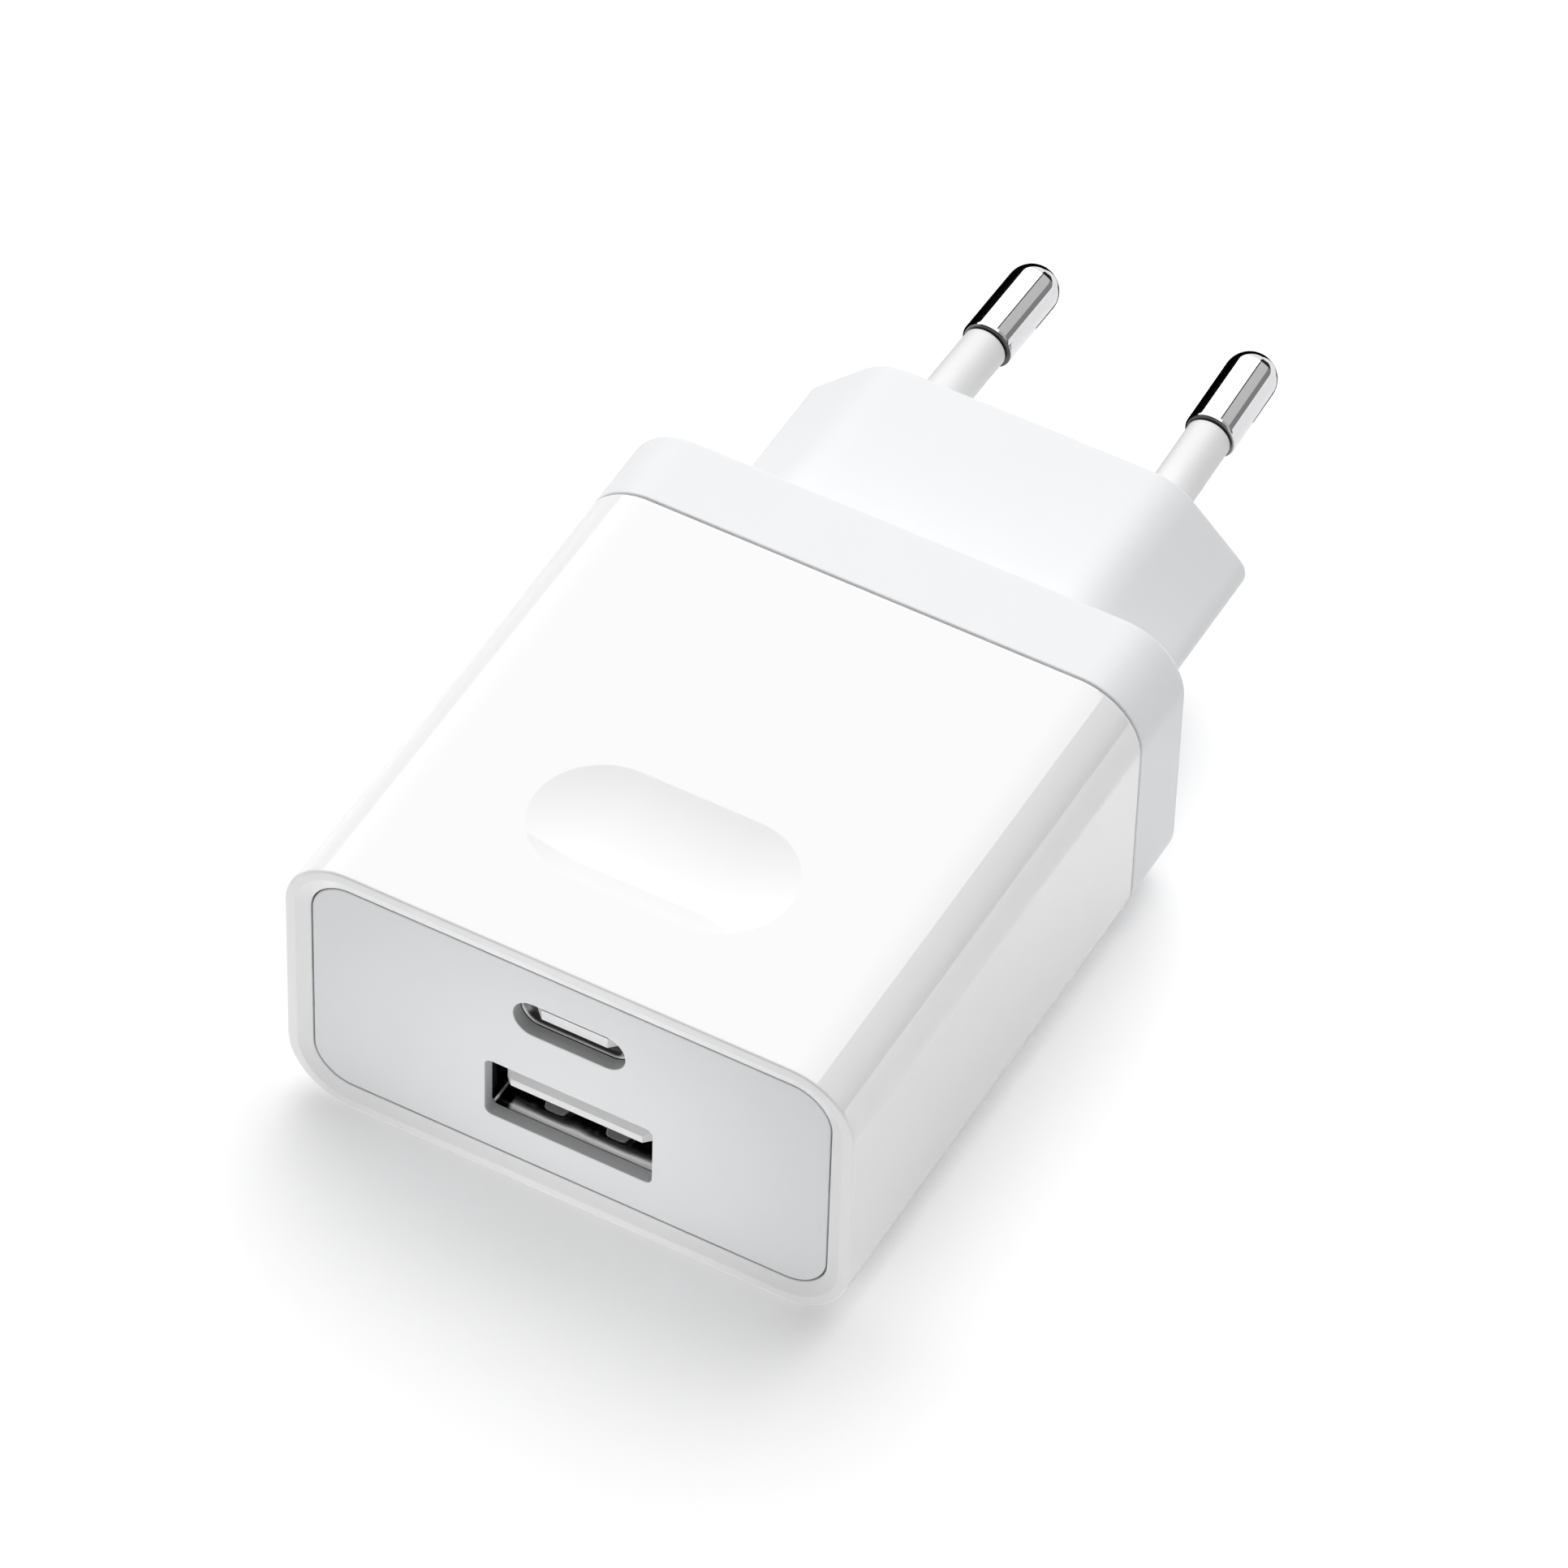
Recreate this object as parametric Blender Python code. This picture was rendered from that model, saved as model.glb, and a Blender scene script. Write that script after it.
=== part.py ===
"""A two-port USB wall charger with a flat two-pin plug, built from its separate pieces.

The charger lies on its broad side. X runs across its width, the ports face -Y, the pins point
to +Y and Z is up. The origin is under the middle of the whole length, on the resting surface.
Lengths are in millimetres and become metres where a mesh is made. A "depth" is a distance behind
the front edge of the casing, and a "height" is measured from the casing's middle plane.
"""

import math

import bmesh
import bpy
from mathutils import Matrix, Vector

MM = 0.001

# Casing
BODY_WIDTH = 42.9
BODY_HEIGHT = 23.0
BODY_CORNER_RADIUS = 4.9
SHELL_LENGTH = 40.0
LIP_LAND = 0.8
LIP_BEVEL = 1.0
LIP_DROP = 0.39
LIP_EDGE_RADIUS = 0.2
PANEL_LEDGE = 0.5
RECESS_LENGTH = 19.4
RECESS_WIDTH = 10.4
RECESS_SAG = 0.6
RECESS_SETBACK = 12.7
RIB_WIDTH = 1.2
RIB_HEIGHT = 0.55
RIB_SPACING = 28.0
RIB_REAR_GAP = 2.2

# Front panel
PANEL_THICKNESS = 1.0
PANEL_GAP = 0.12
PANEL_SEAT = 0.1

# Rear cover and its plug boss
COVER_DEPTH = 6.47
COVER_REAR_WALL = 2.0
SEAM_GAP = 0.15
SPIGOT_WALL = 1.0
SPIGOT_DEPTH = 2.8
SPIGOT_FIT = 0.15
BOSS_WIDTH = 35.7
BOSS_HEIGHT = 12.5
BOSS_FLAT = 23.1
BOSS_SIDE_RADIUS = 1.8
BOSS_EDGE_RADIUS = 4.85
BOSS_LENGTH = 18.0
BOSS_WALL = 1.8
BOSS_END_WALL = 3.0
BOSS_POCKET_RADIUS = 0.45

# Mains pins and their insulating sleeves
PIN_LENGTH = 19.0
PIN_DIAMETER = 3.94
PIN_NECK_DIAMETER = 2.4
PIN_HEAD_DIAMETER = 5.0
PIN_HEAD_THICKNESS = 1.3
PIN_SPACING_AT_FACE = 18.4
PIN_SPACING_AT_TIP = 17.3
SLEEVE_DIAMETER = 3.36
SLEEVE_LENGTH = 10.5
SLEEVE_FIT = 0.1
PIN_HOLE_FIT = 0.15
STRAP_WIDTH = 3.0
STRAP_THICKNESS = 0.5
STRAP_DROP = 1.2

# Larger port, its metal shell, insulator, contacts and gripping springs
A_WIDTH = 12.75
A_HEIGHT = 5.35
A_CORNER_RADIUS = 0.55
A_REVEAL = 0.06
A_SHEET = 0.3
A_SHELL_LENGTH = 13.6
A_TONGUE_SIDE_GAP = 0.75
A_TONGUE_THICKNESS = 1.84
A_TONGUE_SETBACK = 1.1
A_TONGUE_LAND = 0.62
A_TONGUE_CHAMFER = 0.55
A_PLUG_ROOM = 2.3
A_BLOCK_LENGTH = 4.2
A_BLOCK_FIT = 0.15
A_GROOVE_DEPTH = 1.0
A_GROOVE_FRONT = 0.9
A_GROOVE_FIT = 0.2
A_CONTACT_WIDTH = 1.0
A_CONTACT_INNER = 1.0
A_CONTACT_OUTER = 3.5
A_CONTACT_SHEET = 0.2
A_CONTACT_REACH = 0.36
A_CONTACT_ROOT = 0.6
A_CONTACT_FLAT = 0.9
A_CONTACT_CREST = 0.76
A_CONTACT_NOSE = 1.37
A_CONTACT_TIP_GAP = 1.5
A_CONTACT_CLEAR = 0.35
A_SPRING_WIDTH = 2.1
A_SPRING_SPACING = 4.7
A_SPRING_SETBACK = 2.2
A_SPRING_LENGTH = 6.3
A_SPRING_FLAT = 1.2
A_SPRING_CREST = 1.08
A_SPRING_NOSE = 1.32
A_SPRING_NOSE_RISE = 0.08
A_SPRING_RISE = 0.4
A_SPRING_SHEET = 0.25
A_SPRING_FIT = 0.2

# Smaller port, its metal shell, tongue and contact combs
C_WIDTH = 8.48
C_HEIGHT = 3.04
C_ABOVE_MIDDLE = 4.86
C_REVEAL = 0.09
C_SHEET = 0.2
C_SHELL_LENGTH = 8.0
C_TONGUE_WIDTH = 6.69
C_TONGUE_THICKNESS = 0.9
C_TONGUE_SETBACK = 0.76
C_TONGUE_CHAMFER = 0.86
C_BLOCK_LENGTH = 2.6
C_BLOCK_FIT = 0.15
C_CONTACT_COUNT = 12
C_CONTACT_PITCH = 0.5
C_CONTACT_WIDTH = 0.26
C_CONTACT_SHEET = 0.12
C_CONTACT_GAP = 0.05
C_CONTACT_SETBACK = 1.3
C_COMB_BACK = 0.5

# Circuit boards
MOUNT_GAP = 0.15
BOARD_THICKNESS = 1.6
BOARD_SIDE_GAP = 1.6
BOARD_FRONT = 11.0
BOARD_REAR_GAP = 1.4
BOARD_RISE = 0.3
RISER_THICKNESS = 1.0
RISER_WIDTH = 17.0
RISER_FRONT_GAP = 0.5
RISER_GAP = 0.3
HEADER_WIDTH = 10.0
HEADER_DEPTH = 2.4
HEADER_GAP = 2.1

# Transformer
CORE_WIDTH = 14.0
CORE_DEPTH = 5.0
CORE_PLATE = 2.4
CORE_SIDE_LEG = 2.2
CORE_MIDDLE_LEG = 4.0
CORE_JOINT = 0.1
BOBBIN_FIT = 0.2
BOBBIN_WALL = 0.5
BOBBIN_FLANGE = 0.6
BOBBIN_CORNER = 0.6
WINDING_GAP = 0.15
TAPE_THICKNESS = 0.2
TAPE_WIDTH = 4.0

# Parts on the boards: their margins to the board's edges and to each other, and their sizes
FRONT_MARGIN = 2.05
REAR_MARGIN = 2.0
SIDE_MARGIN = 0.5
PART_GAP = 0.8
HEADROOM = 3.2
CAN_RIM = 0.4
BULK_CAN_DIAMETER = 8.0
OUTPUT_CAN_DIAMETER = 6.3
OUTPUT_CAN_HEIGHT = 8.0
CHOKE_DIAMETER = 6.0
CHOKE_HEIGHT = 8.0
CHOKE_GROOVE = 1.0
CHOKE_FLANGE = 1.2
FUSE_DIAMETER = 2.6
FUSE_LENGTH = 6.5
FUSE_CAP = 1.2
FUSE_NECK = 0.25
DISC_DIAMETER = 7.0
DISC_THICKNESS = 3.0
DISC_RIM = 0.75
BRIDGE_SIZE = (4.8, 4.0, 2.4)
PRIMARY_CHIP_SIZE = (6.0, 3.6, 1.5)
RECTIFIER_CHIP_SIZE = (4.0, 3.6, 1.4)
PORT_CHIP_SIZE = (4.0, 4.0, 0.9)
CHIP_BEVEL = 0.25

# How finely round shapes are cut into flats
CORNER_STEPS = 8
SMALL_CORNER_STEPS = 4
TURN_STEPS = 24
DOME_STEPS = 6
DISH_RINGS = 5

# Sizes that follow from the ones above
OVERALL_LENGTH = SHELL_LENGTH + COVER_DEPTH + BOSS_LENGTH + PIN_LENGTH
PANEL_INSET = LIP_LAND + LIP_BEVEL
PANEL_BACK = LIP_DROP + PANEL_THICKNESS
PORT_FRONT = PANEL_BACK + PANEL_SEAT
SHELL_WALL = PANEL_INSET + PANEL_LEDGE
COVER_REAR = SHELL_LENGTH + COVER_DEPTH
BOSS_FACE = COVER_REAR + BOSS_LENGTH
INSIDE_HALF_WIDTH = BODY_WIDTH / 2 - SHELL_WALL
INSIDE_HALF_HEIGHT = BODY_HEIGHT / 2 - SHELL_WALL
PIN_SLOPE = (PIN_SPACING_AT_TIP - PIN_SPACING_AT_FACE) / 2 / PIN_LENGTH
PIN_INNER_END = BOSS_END_WALL + MOUNT_GAP + PIN_HEAD_THICKNESS

# The main board stands on ribs, and the larger port on the board sets where its opening is
RIB_TOP = RIB_HEIGHT - INSIDE_HALF_HEIGHT
BOARD_TOP = RIB_TOP + MOUNT_GAP + BOARD_THICKNESS
BOARD_SEAT = BOARD_TOP + MOUNT_GAP
BOARD_REAR = COVER_REAR - COVER_REAR_WALL - BOARD_REAR_GAP
A_FLOOR = BOARD_TOP + BOARD_RISE + A_SHEET
A_MIDDLE = A_FLOOR - A_REVEAL + A_HEIGHT / 2
A_TONGUE_BOTTOM = A_FLOOR + A_PLUG_ROOM
A_TONGUE_FRONT = LIP_DROP + A_TONGUE_SETBACK
A_SHELL_REAR = PORT_FRONT + A_SHELL_LENGTH
A_BLOCK_FRONT = A_SHELL_REAR - A_BLOCK_LENGTH
A_GROOVE_ROOF = A_TONGUE_BOTTOM + A_GROOVE_DEPTH
A_GROOVE_START = A_TONGUE_FRONT + A_GROOVE_FRONT
A_CONTACT_PLACES = (-A_CONTACT_OUTER, -A_CONTACT_INNER, A_CONTACT_INNER, A_CONTACT_OUTER)
A_CONTACT_HINGE = (A_BLOCK_FRONT + A_CONTACT_ROOT, A_GROOVE_ROOF - A_CONTACT_CLEAR)
A_SPRING_FRONT = LIP_DROP + A_SPRING_SETBACK
A_SPRING_HINGE = (A_SPRING_FRONT + A_SPRING_LENGTH, A_FLOOR - A_SHEET / 2)

# The riser board hangs under the smaller port and ends in the connector to the main board
C_TONGUE_FRONT = LIP_DROP + C_TONGUE_SETBACK
C_SHELL_REAR = PORT_FRONT + C_SHELL_LENGTH
RISER_TOP = C_ABOVE_MIDDLE - C_HEIGHT / 2 + C_REVEAL - C_SHEET - RISER_GAP
RISER_SEAT = RISER_TOP + MOUNT_GAP
HEADER_FRONT = A_SHELL_REAR + HEADER_GAP
RISER_REAR = HEADER_FRONT + HEADER_DEPTH

# Places of the parts on the boards, as (across, depth) of the middle of each
BOARD_HALF_WIDTH = INSIDE_HALF_WIDTH - BOARD_SIDE_GAP
SIDE_LINE = BOARD_HALF_WIDTH - SIDE_MARGIN
REAR_LINE = BOARD_REAR - REAR_MARGIN
TALL_ROOM = INSIDE_HALF_HEIGHT - HEADROOM - BOARD_SEAT
OUTPUT_CAN_REAR = BOARD_FRONT + FRONT_MARGIN + OUTPUT_CAN_DIAMETER
OUTPUT_CAN_AT = (SIDE_LINE - OUTPUT_CAN_DIAMETER / 2, OUTPUT_CAN_REAR - OUTPUT_CAN_DIAMETER / 2)
BULK_CAN_AT = (SIDE_LINE - BULK_CAN_DIAMETER / 2, REAR_LINE - BULK_CAN_DIAMETER / 2)
BULK_CAN_PITCH = BULK_CAN_DIAMETER + PART_GAP
CHOKE_SIDE = SIDE_LINE - 2 * BULK_CAN_PITCH
CHOKE_AT = (CHOKE_SIDE - CHOKE_DIAMETER / 2, REAR_LINE - CHOKE_DIAMETER / 2)
FUSE_AT = (FUSE_LENGTH / 2 - SIDE_LINE, REAR_LINE - FUSE_DIAMETER / 2)
BRIDGE_AT = (FUSE_AT[0], REAR_LINE - FUSE_DIAMETER - PART_GAP - BRIDGE_SIZE[1] / 2)
RECTIFIER_FRONT = OUTPUT_CAN_REAR + PART_GAP
RECTIFIER_CHIP_AT = (OUTPUT_CAN_AT[0], RECTIFIER_FRONT + RECTIFIER_CHIP_SIZE[1] / 2)
PRIMARY_ROOM = (RECTIFIER_FRONT + RECTIFIER_CHIP_SIZE[1], REAR_LINE - BULK_CAN_DIAMETER)
PRIMARY_CHIP_AT = (BULK_CAN_AT[0], sum(PRIMARY_ROOM) / 2)
PORT_CHIP_AT = (0.0, (C_SHELL_REAR + RISER_REAR) / 2)
TAPE_ROOM = TAPE_THICKNESS + MOUNT_GAP
CORE_HEIGHT = TALL_ROOM - 2 * TAPE_ROOM
BOBBIN_REACH = (CORE_WIDTH - CORE_MIDDLE_LEG) / 2 - CORE_SIDE_LEG - BOBBIN_FIT
BOBBIN_WIDTH = CORE_MIDDLE_LEG + 2 * BOBBIN_REACH
BOBBIN_DEPTH = CORE_DEPTH + 2 * BOBBIN_REACH
CORE_AT = (TAPE_ROOM + CORE_WIDTH / 2 - SIDE_LINE, OUTPUT_CAN_REAR + PART_GAP + BOBBIN_DEPTH / 2)
DISC_ROOM = (CORE_AT[0] + CORE_WIDTH / 2 + TAPE_ROOM, RECTIFIER_CHIP_AT[0] - RECTIFIER_CHIP_SIZE[0] / 2)
DISC_AT = (sum(DISC_ROOM) / 2, RISER_REAR + PART_GAP + DISC_DIAMETER / 2)


def remove_old_objects():
    for old in list(bpy.data.objects):
        bpy.data.objects.remove(old, do_unlink=True)


def world(across, depth, height):
    """World position, in millimetres, of a place in the casing."""
    return Vector((across, depth - OVERALL_LENGTH / 2, height + BODY_HEIGHT / 2))


def lengthways(u, v, t):
    """Maps an outline (u across, v up) and a distance t along the casing to the world."""
    return world(u, t, v)


def finish(name, colour, roughness, metallic=0.0):
    """A plain material for one kind of piece."""
    material = bpy.data.materials.new(name)
    material.use_nodes = True
    shader = material.node_tree.nodes["Principled BSDF"]
    shader.inputs["Base Color"].default_value = (*colour, 1.0)
    shader.inputs["Roughness"].default_value = roughness
    shader.inputs["Metallic"].default_value = metallic
    return material


def piece(name, mesh, material, origin=None):
    """Turns a bmesh in millimetres into a named object, with its origin at a world position."""
    origin = origin or Vector((0.0, 0.0, 0.0))
    bmesh.ops.recalc_face_normals(mesh, faces=mesh.faces)
    bmesh.ops.translate(mesh, verts=mesh.verts, vec=-origin)
    bmesh.ops.scale(mesh, verts=mesh.verts, vec=(MM, MM, MM))
    data = bpy.data.meshes.new(name)
    mesh.to_mesh(data)
    mesh.free()
    data.shade_smooth()
    data.set_sharp_from_angle(angle=math.radians(30))
    data.materials.append(material)
    made = bpy.data.objects.new(name, data)
    made.location = origin * MM
    bpy.context.scene.collection.objects.link(made)
    return made


def combine(target, tool_name, mesh, operation):
    """Cuts a hidden tool shape out of a piece, or joins it on."""
    tool = piece(tool_name, mesh, target.data.materials[0])
    tool.hide_render = True
    tool.display_type = "WIRE"
    step = target.modifiers.new(tool_name, "BOOLEAN")
    step.operation = operation
    step.solver = "EXACT"
    step.object = tool


def rounded_outline(corners, radii, steps):
    """A polygon whose corners are arcs: each arc touches both sides at its own radius."""
    outline = []
    for index, (corner, radius) in enumerate(zip(corners, radii)):
        here = Vector(corner)
        back = (Vector(corners[index - 1]) - here).normalized()
        ahead = (Vector(corners[(index + 1) % len(corners)]) - here).normalized()
        half = back.angle(ahead) / 2
        centre = here + (back + ahead).normalized() * (radius / math.sin(half))
        start = here + back * (radius / math.tan(half)) - centre
        sweep_angle = start.angle_signed(here + ahead * (radius / math.tan(half)) - centre)
        for step in range(steps + 1):
            turn = Matrix.Rotation(-sweep_angle * step / steps, 2)
            outline.append(tuple(centre + turn @ start))
    return outline


def rectangle_outline(width, height, radius, steps=CORNER_STEPS):
    """A rectangle with round corners about (0, 0)."""
    x, y = width / 2, height / 2
    return rounded_outline([(x, y), (-x, y), (-x, -y), (x, -y)], [radius] * 4, steps)


def slot_outline(length, width):
    """A slot with half-round ends about (0, 0)."""
    radius = width / 2
    spine = length / 2 - radius
    angles = [math.pi * i / (2 * CORNER_STEPS) for i in range(2 * CORNER_STEPS + 1)]
    right = [(spine + radius * math.sin(a), -radius * math.cos(a)) for a in angles]
    return right + [(-u, -v) for u, v in right]


def boss_outline(inset, point):
    """The plug boss: six sides with a rounded point at each end, drawn in evenly by an inset."""
    slant = math.atan2(BOSS_HEIGHT / 2, (BOSS_WIDTH - BOSS_FLAT) / 2)
    tip = BOSS_WIDTH / 2 - inset / math.sin(slant)
    side = BOSS_FLAT / 2 - inset * math.tan(slant / 2)
    top = BOSS_HEIGHT / 2 - inset
    corners = [(side, top), (-side, top), (-tip, 0), (-side, -top), (side, -top), (tip, 0)]
    edge = BOSS_EDGE_RADIUS - inset
    return rounded_outline(corners, [edge, edge, point, edge, edge, point], SMALL_CORNER_STEPS)


def shifted(outline, u, v):
    return [(a + u, b + v) for a, b in outline]


def loft(rings, close_ends=True, close_loop=False):
    """Joins rings of equally many world points with quads, ending in flat caps or in a loop."""
    mesh = bmesh.new()
    loops = [[mesh.verts.new(point) for point in ring] for ring in rings]
    pairs = list(zip(loops, loops[1:]))
    if close_loop:
        pairs.append((loops[-1], loops[0]))
    for near, far in pairs:
        for i, vertex in enumerate(near):
            mesh.faces.new((near[i - 1], vertex, far[i], far[i - 1]))
    if close_ends and not close_loop:
        mesh.faces.new(loops[0])
        mesh.faces.new(loops[-1])
    return mesh


def prism(outline, start, end, place=lengthways):
    """An outline drawn out straight between two distances."""
    return loft([[place(u, v, t) for u, v in outline] for t in (start, end)])


def frame_sweep(profile, width, height, radius, place=lengthways, steps=CORNER_STEPS):
    """A closed profile of (inset, distance) carried round a rectangle with round corners."""
    rings = []
    for inset, along in profile:
        outline = rectangle_outline(width - 2 * inset, height - 2 * inset, radius - inset, steps)
        rings.append([place(u, v, along) for u, v in outline])
    return loft(rings, close_loop=True)


def turned(profile):
    """A profile of (radius, distance) turned about Z. A radius of zero makes a pole."""
    mesh = bmesh.new()
    rings = []
    for radius, along in profile:
        if radius > 0:
            rings.append([mesh.verts.new(point) for point in circle(radius, along)])
        else:
            rings.append([mesh.verts.new((0, 0, along))] * TURN_STEPS)
    for near, far in zip(rings, rings[1:]):
        for i in range(TURN_STEPS):
            corners = dict.fromkeys((near[i - 1], near[i], far[i], far[i - 1]))
            mesh.faces.new(list(corners))
    for ring in (rings[0], rings[-1]):
        if ring[0] != ring[-1]:
            mesh.faces.new(ring)
    return mesh


def circle(radius, along):
    """Points round a circle about Z."""
    angles = [2 * math.pi * i / TURN_STEPS for i in range(TURN_STEPS)]
    return [Vector((radius * math.cos(a), radius * math.sin(a), along)) for a in angles]


def tube(inner, outer, start, end):
    """A round tube about Z."""
    profile = [(inner, start), (outer, start), (outer, end), (inner, end)]
    return loft([circle(radius, along) for radius, along in profile], close_loop=True)


def block(low, high):
    """A box between two corners given as (across, depth, height)."""
    outline = [(low[0], low[2]), (high[0], low[2]), (high[0], high[2]), (low[0], high[2])]
    return prism(outline, low[1], high[1])


def strip(path, thickness, width, across):
    """A flat strip bent along a path of (depth, height), with mitred bends."""
    points = [Vector(p) for p in path]
    left, right = [], []
    for i, point in enumerate(points):
        runs = []
        if i > 0:
            runs.append((point - points[i - 1]).normalized())
        if i < len(points) - 1:
            runs.append((points[i + 1] - point).normalized())
        normals = [Vector((-run.y, run.x)) for run in runs]
        mitre = sum(normals, Vector((0.0, 0.0))).normalized()
        reach = thickness / 2 / mitre.dot(normals[0])
        left.append(point + mitre * reach)
        right.append(point - mitre * reach)
    outline = left + right[::-1]
    sides = (across - width / 2, across + width / 2)
    return loft([[world(x, depth, height) for depth, height in outline] for x in sides])


def on_axis(mesh, base, direction):
    """Moves a turned shape so that its Z axis starts at a world point and follows a direction."""
    turn = Vector((0.0, 0.0, 1.0)).rotation_difference(direction).to_matrix().to_4x4()
    bmesh.ops.transform(mesh, verts=mesh.verts, matrix=Matrix.Translation(base) @ turn)
    return mesh


def make_main_shell(white):
    """The main tube: rounded front lip, seat for the panel, bore, and rebate for the rear cover."""
    seat = PANEL_BACK + PANEL_SEAT
    rebate = SHELL_LENGTH - SPIGOT_DEPTH
    edge = LIP_EDGE_RADIUS
    bend = edge * (1 - math.sqrt(0.5))
    profile = [
        (0, SHELL_LENGTH), (0, edge), (bend, bend), (edge, 0), (LIP_LAND, 0), (PANEL_INSET, LIP_DROP),
        (PANEL_INSET, seat), (SHELL_WALL, seat), (SHELL_WALL, rebate), (SPIGOT_WALL, rebate),
        (SPIGOT_WALL, SHELL_LENGTH),
    ]
    shell = piece("main_shell", frame_sweep(profile, BODY_WIDTH, BODY_HEIGHT, BODY_CORNER_RADIUS), white)
    for side, label in ((-1, "left"), (1, "right")):
        middle = side * RIB_SPACING / 2
        low = (middle - RIB_WIDTH / 2, BOARD_FRONT, -INSIDE_HALF_HEIGHT - SHELL_WALL / 2)
        high = (middle + RIB_WIDTH / 2, rebate - RIB_REAR_GAP, RIB_TOP)
        combine(shell, "rib_" + label, block(low, high), "UNION")
    combine(shell, "recess_tool", recess_tool(), "DIFFERENCE")


def recess_tool():
    """A shallow dish with round ends: its depth falls with the square of the distance from the edge."""
    spine = RECESS_LENGTH - RECESS_WIDTH
    rings = []
    for i in range(1, DISH_RINGS + 2):
        share = i / DISH_RINGS
        height = BODY_HEIGHT / 2 - RECESS_SAG * (1 - share * share)
        outline = slot_outline(spine + RECESS_WIDTH * share, RECESS_WIDTH * share)
        rings.append([world(u, RECESS_SETBACK + v, height) for u, v in outline])
    return loft(rings)


def a_outline(margin):
    """The larger port's opening, grown by a margin all round."""
    outline = rectangle_outline(A_WIDTH + 2 * margin, A_HEIGHT + 2 * margin,
                                A_CORNER_RADIUS + max(margin, 0), SMALL_CORNER_STEPS)
    return shifted(outline, 0, A_MIDDLE)


def c_outline(margin):
    """The smaller port's slot with round ends, grown by a margin all round."""
    return shifted(slot_outline(C_WIDTH + 2 * margin, C_HEIGHT + 2 * margin), 0, C_ABOVE_MIDDLE)


def make_front_panel(grey):
    """The flat front panel with its two port openings."""
    inset = PANEL_INSET + PANEL_GAP
    outline = rectangle_outline(BODY_WIDTH - 2 * inset, BODY_HEIGHT - 2 * inset, BODY_CORNER_RADIUS - inset)
    panel = piece("front_panel", prism(outline, LIP_DROP, PANEL_BACK), grey)
    beyond = PANEL_THICKNESS
    for label, opening in (("a_opening_tool", a_outline(0)), ("c_opening_tool", c_outline(0))):
        combine(panel, label, prism(opening, LIP_DROP - beyond, PANEL_BACK + beyond), "DIFFERENCE")


def pin_axis(side):
    """Start of a pin's axis on the boss face, and its direction, which leans in towards the tip."""
    base = world(side * PIN_SPACING_AT_FACE / 2, BOSS_FACE, 0)
    return base, Vector((side * PIN_SLOPE, 1, 0)).normalized()


def make_rear_cover(white):
    """The end cap with the six-sided plug boss, hollow inside, with a spigot and two pin holes."""
    cap = rectangle_outline(BODY_WIDTH, BODY_HEIGHT, BODY_CORNER_RADIUS)
    cover = piece("rear_cover", prism(cap, SHELL_LENGTH + SEAM_GAP, COVER_REAR), white)
    ring_inset = SPIGOT_WALL + SPIGOT_FIT
    spigot = rectangle_outline(BODY_WIDTH - 2 * ring_inset, BODY_HEIGHT - 2 * ring_inset,
                               BODY_CORNER_RADIUS - ring_inset)
    spigot_front = SHELL_LENGTH - SPIGOT_DEPTH + SPIGOT_FIT
    combine(cover, "spigot", prism(spigot, spigot_front, SHELL_LENGTH + SEAM_GAP + SPIGOT_WALL), "UNION")
    boss = prism(boss_outline(0, BOSS_SIDE_RADIUS), COVER_REAR - COVER_REAR_WALL / 2, BOSS_FACE)
    combine(cover, "boss", boss, "UNION")
    pocket = rectangle_outline(2 * INSIDE_HALF_WIDTH, 2 * INSIDE_HALF_HEIGHT, BODY_CORNER_RADIUS - SHELL_WALL)
    pocket_end = COVER_REAR - COVER_REAR_WALL
    combine(cover, "cover_pocket", prism(pocket, spigot_front - SPIGOT_DEPTH, pocket_end), "DIFFERENCE")
    hollow = boss_outline(BOSS_WALL, BOSS_POCKET_RADIUS)
    hollow_front = pocket_end - COVER_REAR_WALL
    combine(cover, "boss_pocket", prism(hollow, hollow_front, BOSS_FACE - BOSS_END_WALL), "DIFFERENCE")
    radius = SLEEVE_DIAMETER / 2 + PIN_HOLE_FIT
    for side, label in ((-1, "left"), (1, "right")):
        hole = turned([(radius, -2 * BOSS_END_WALL), (radius, BOSS_END_WALL)])
        combine(cover, "pin_hole_" + label, on_axis(hole, *pin_axis(side)), "DIFFERENCE")


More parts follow.
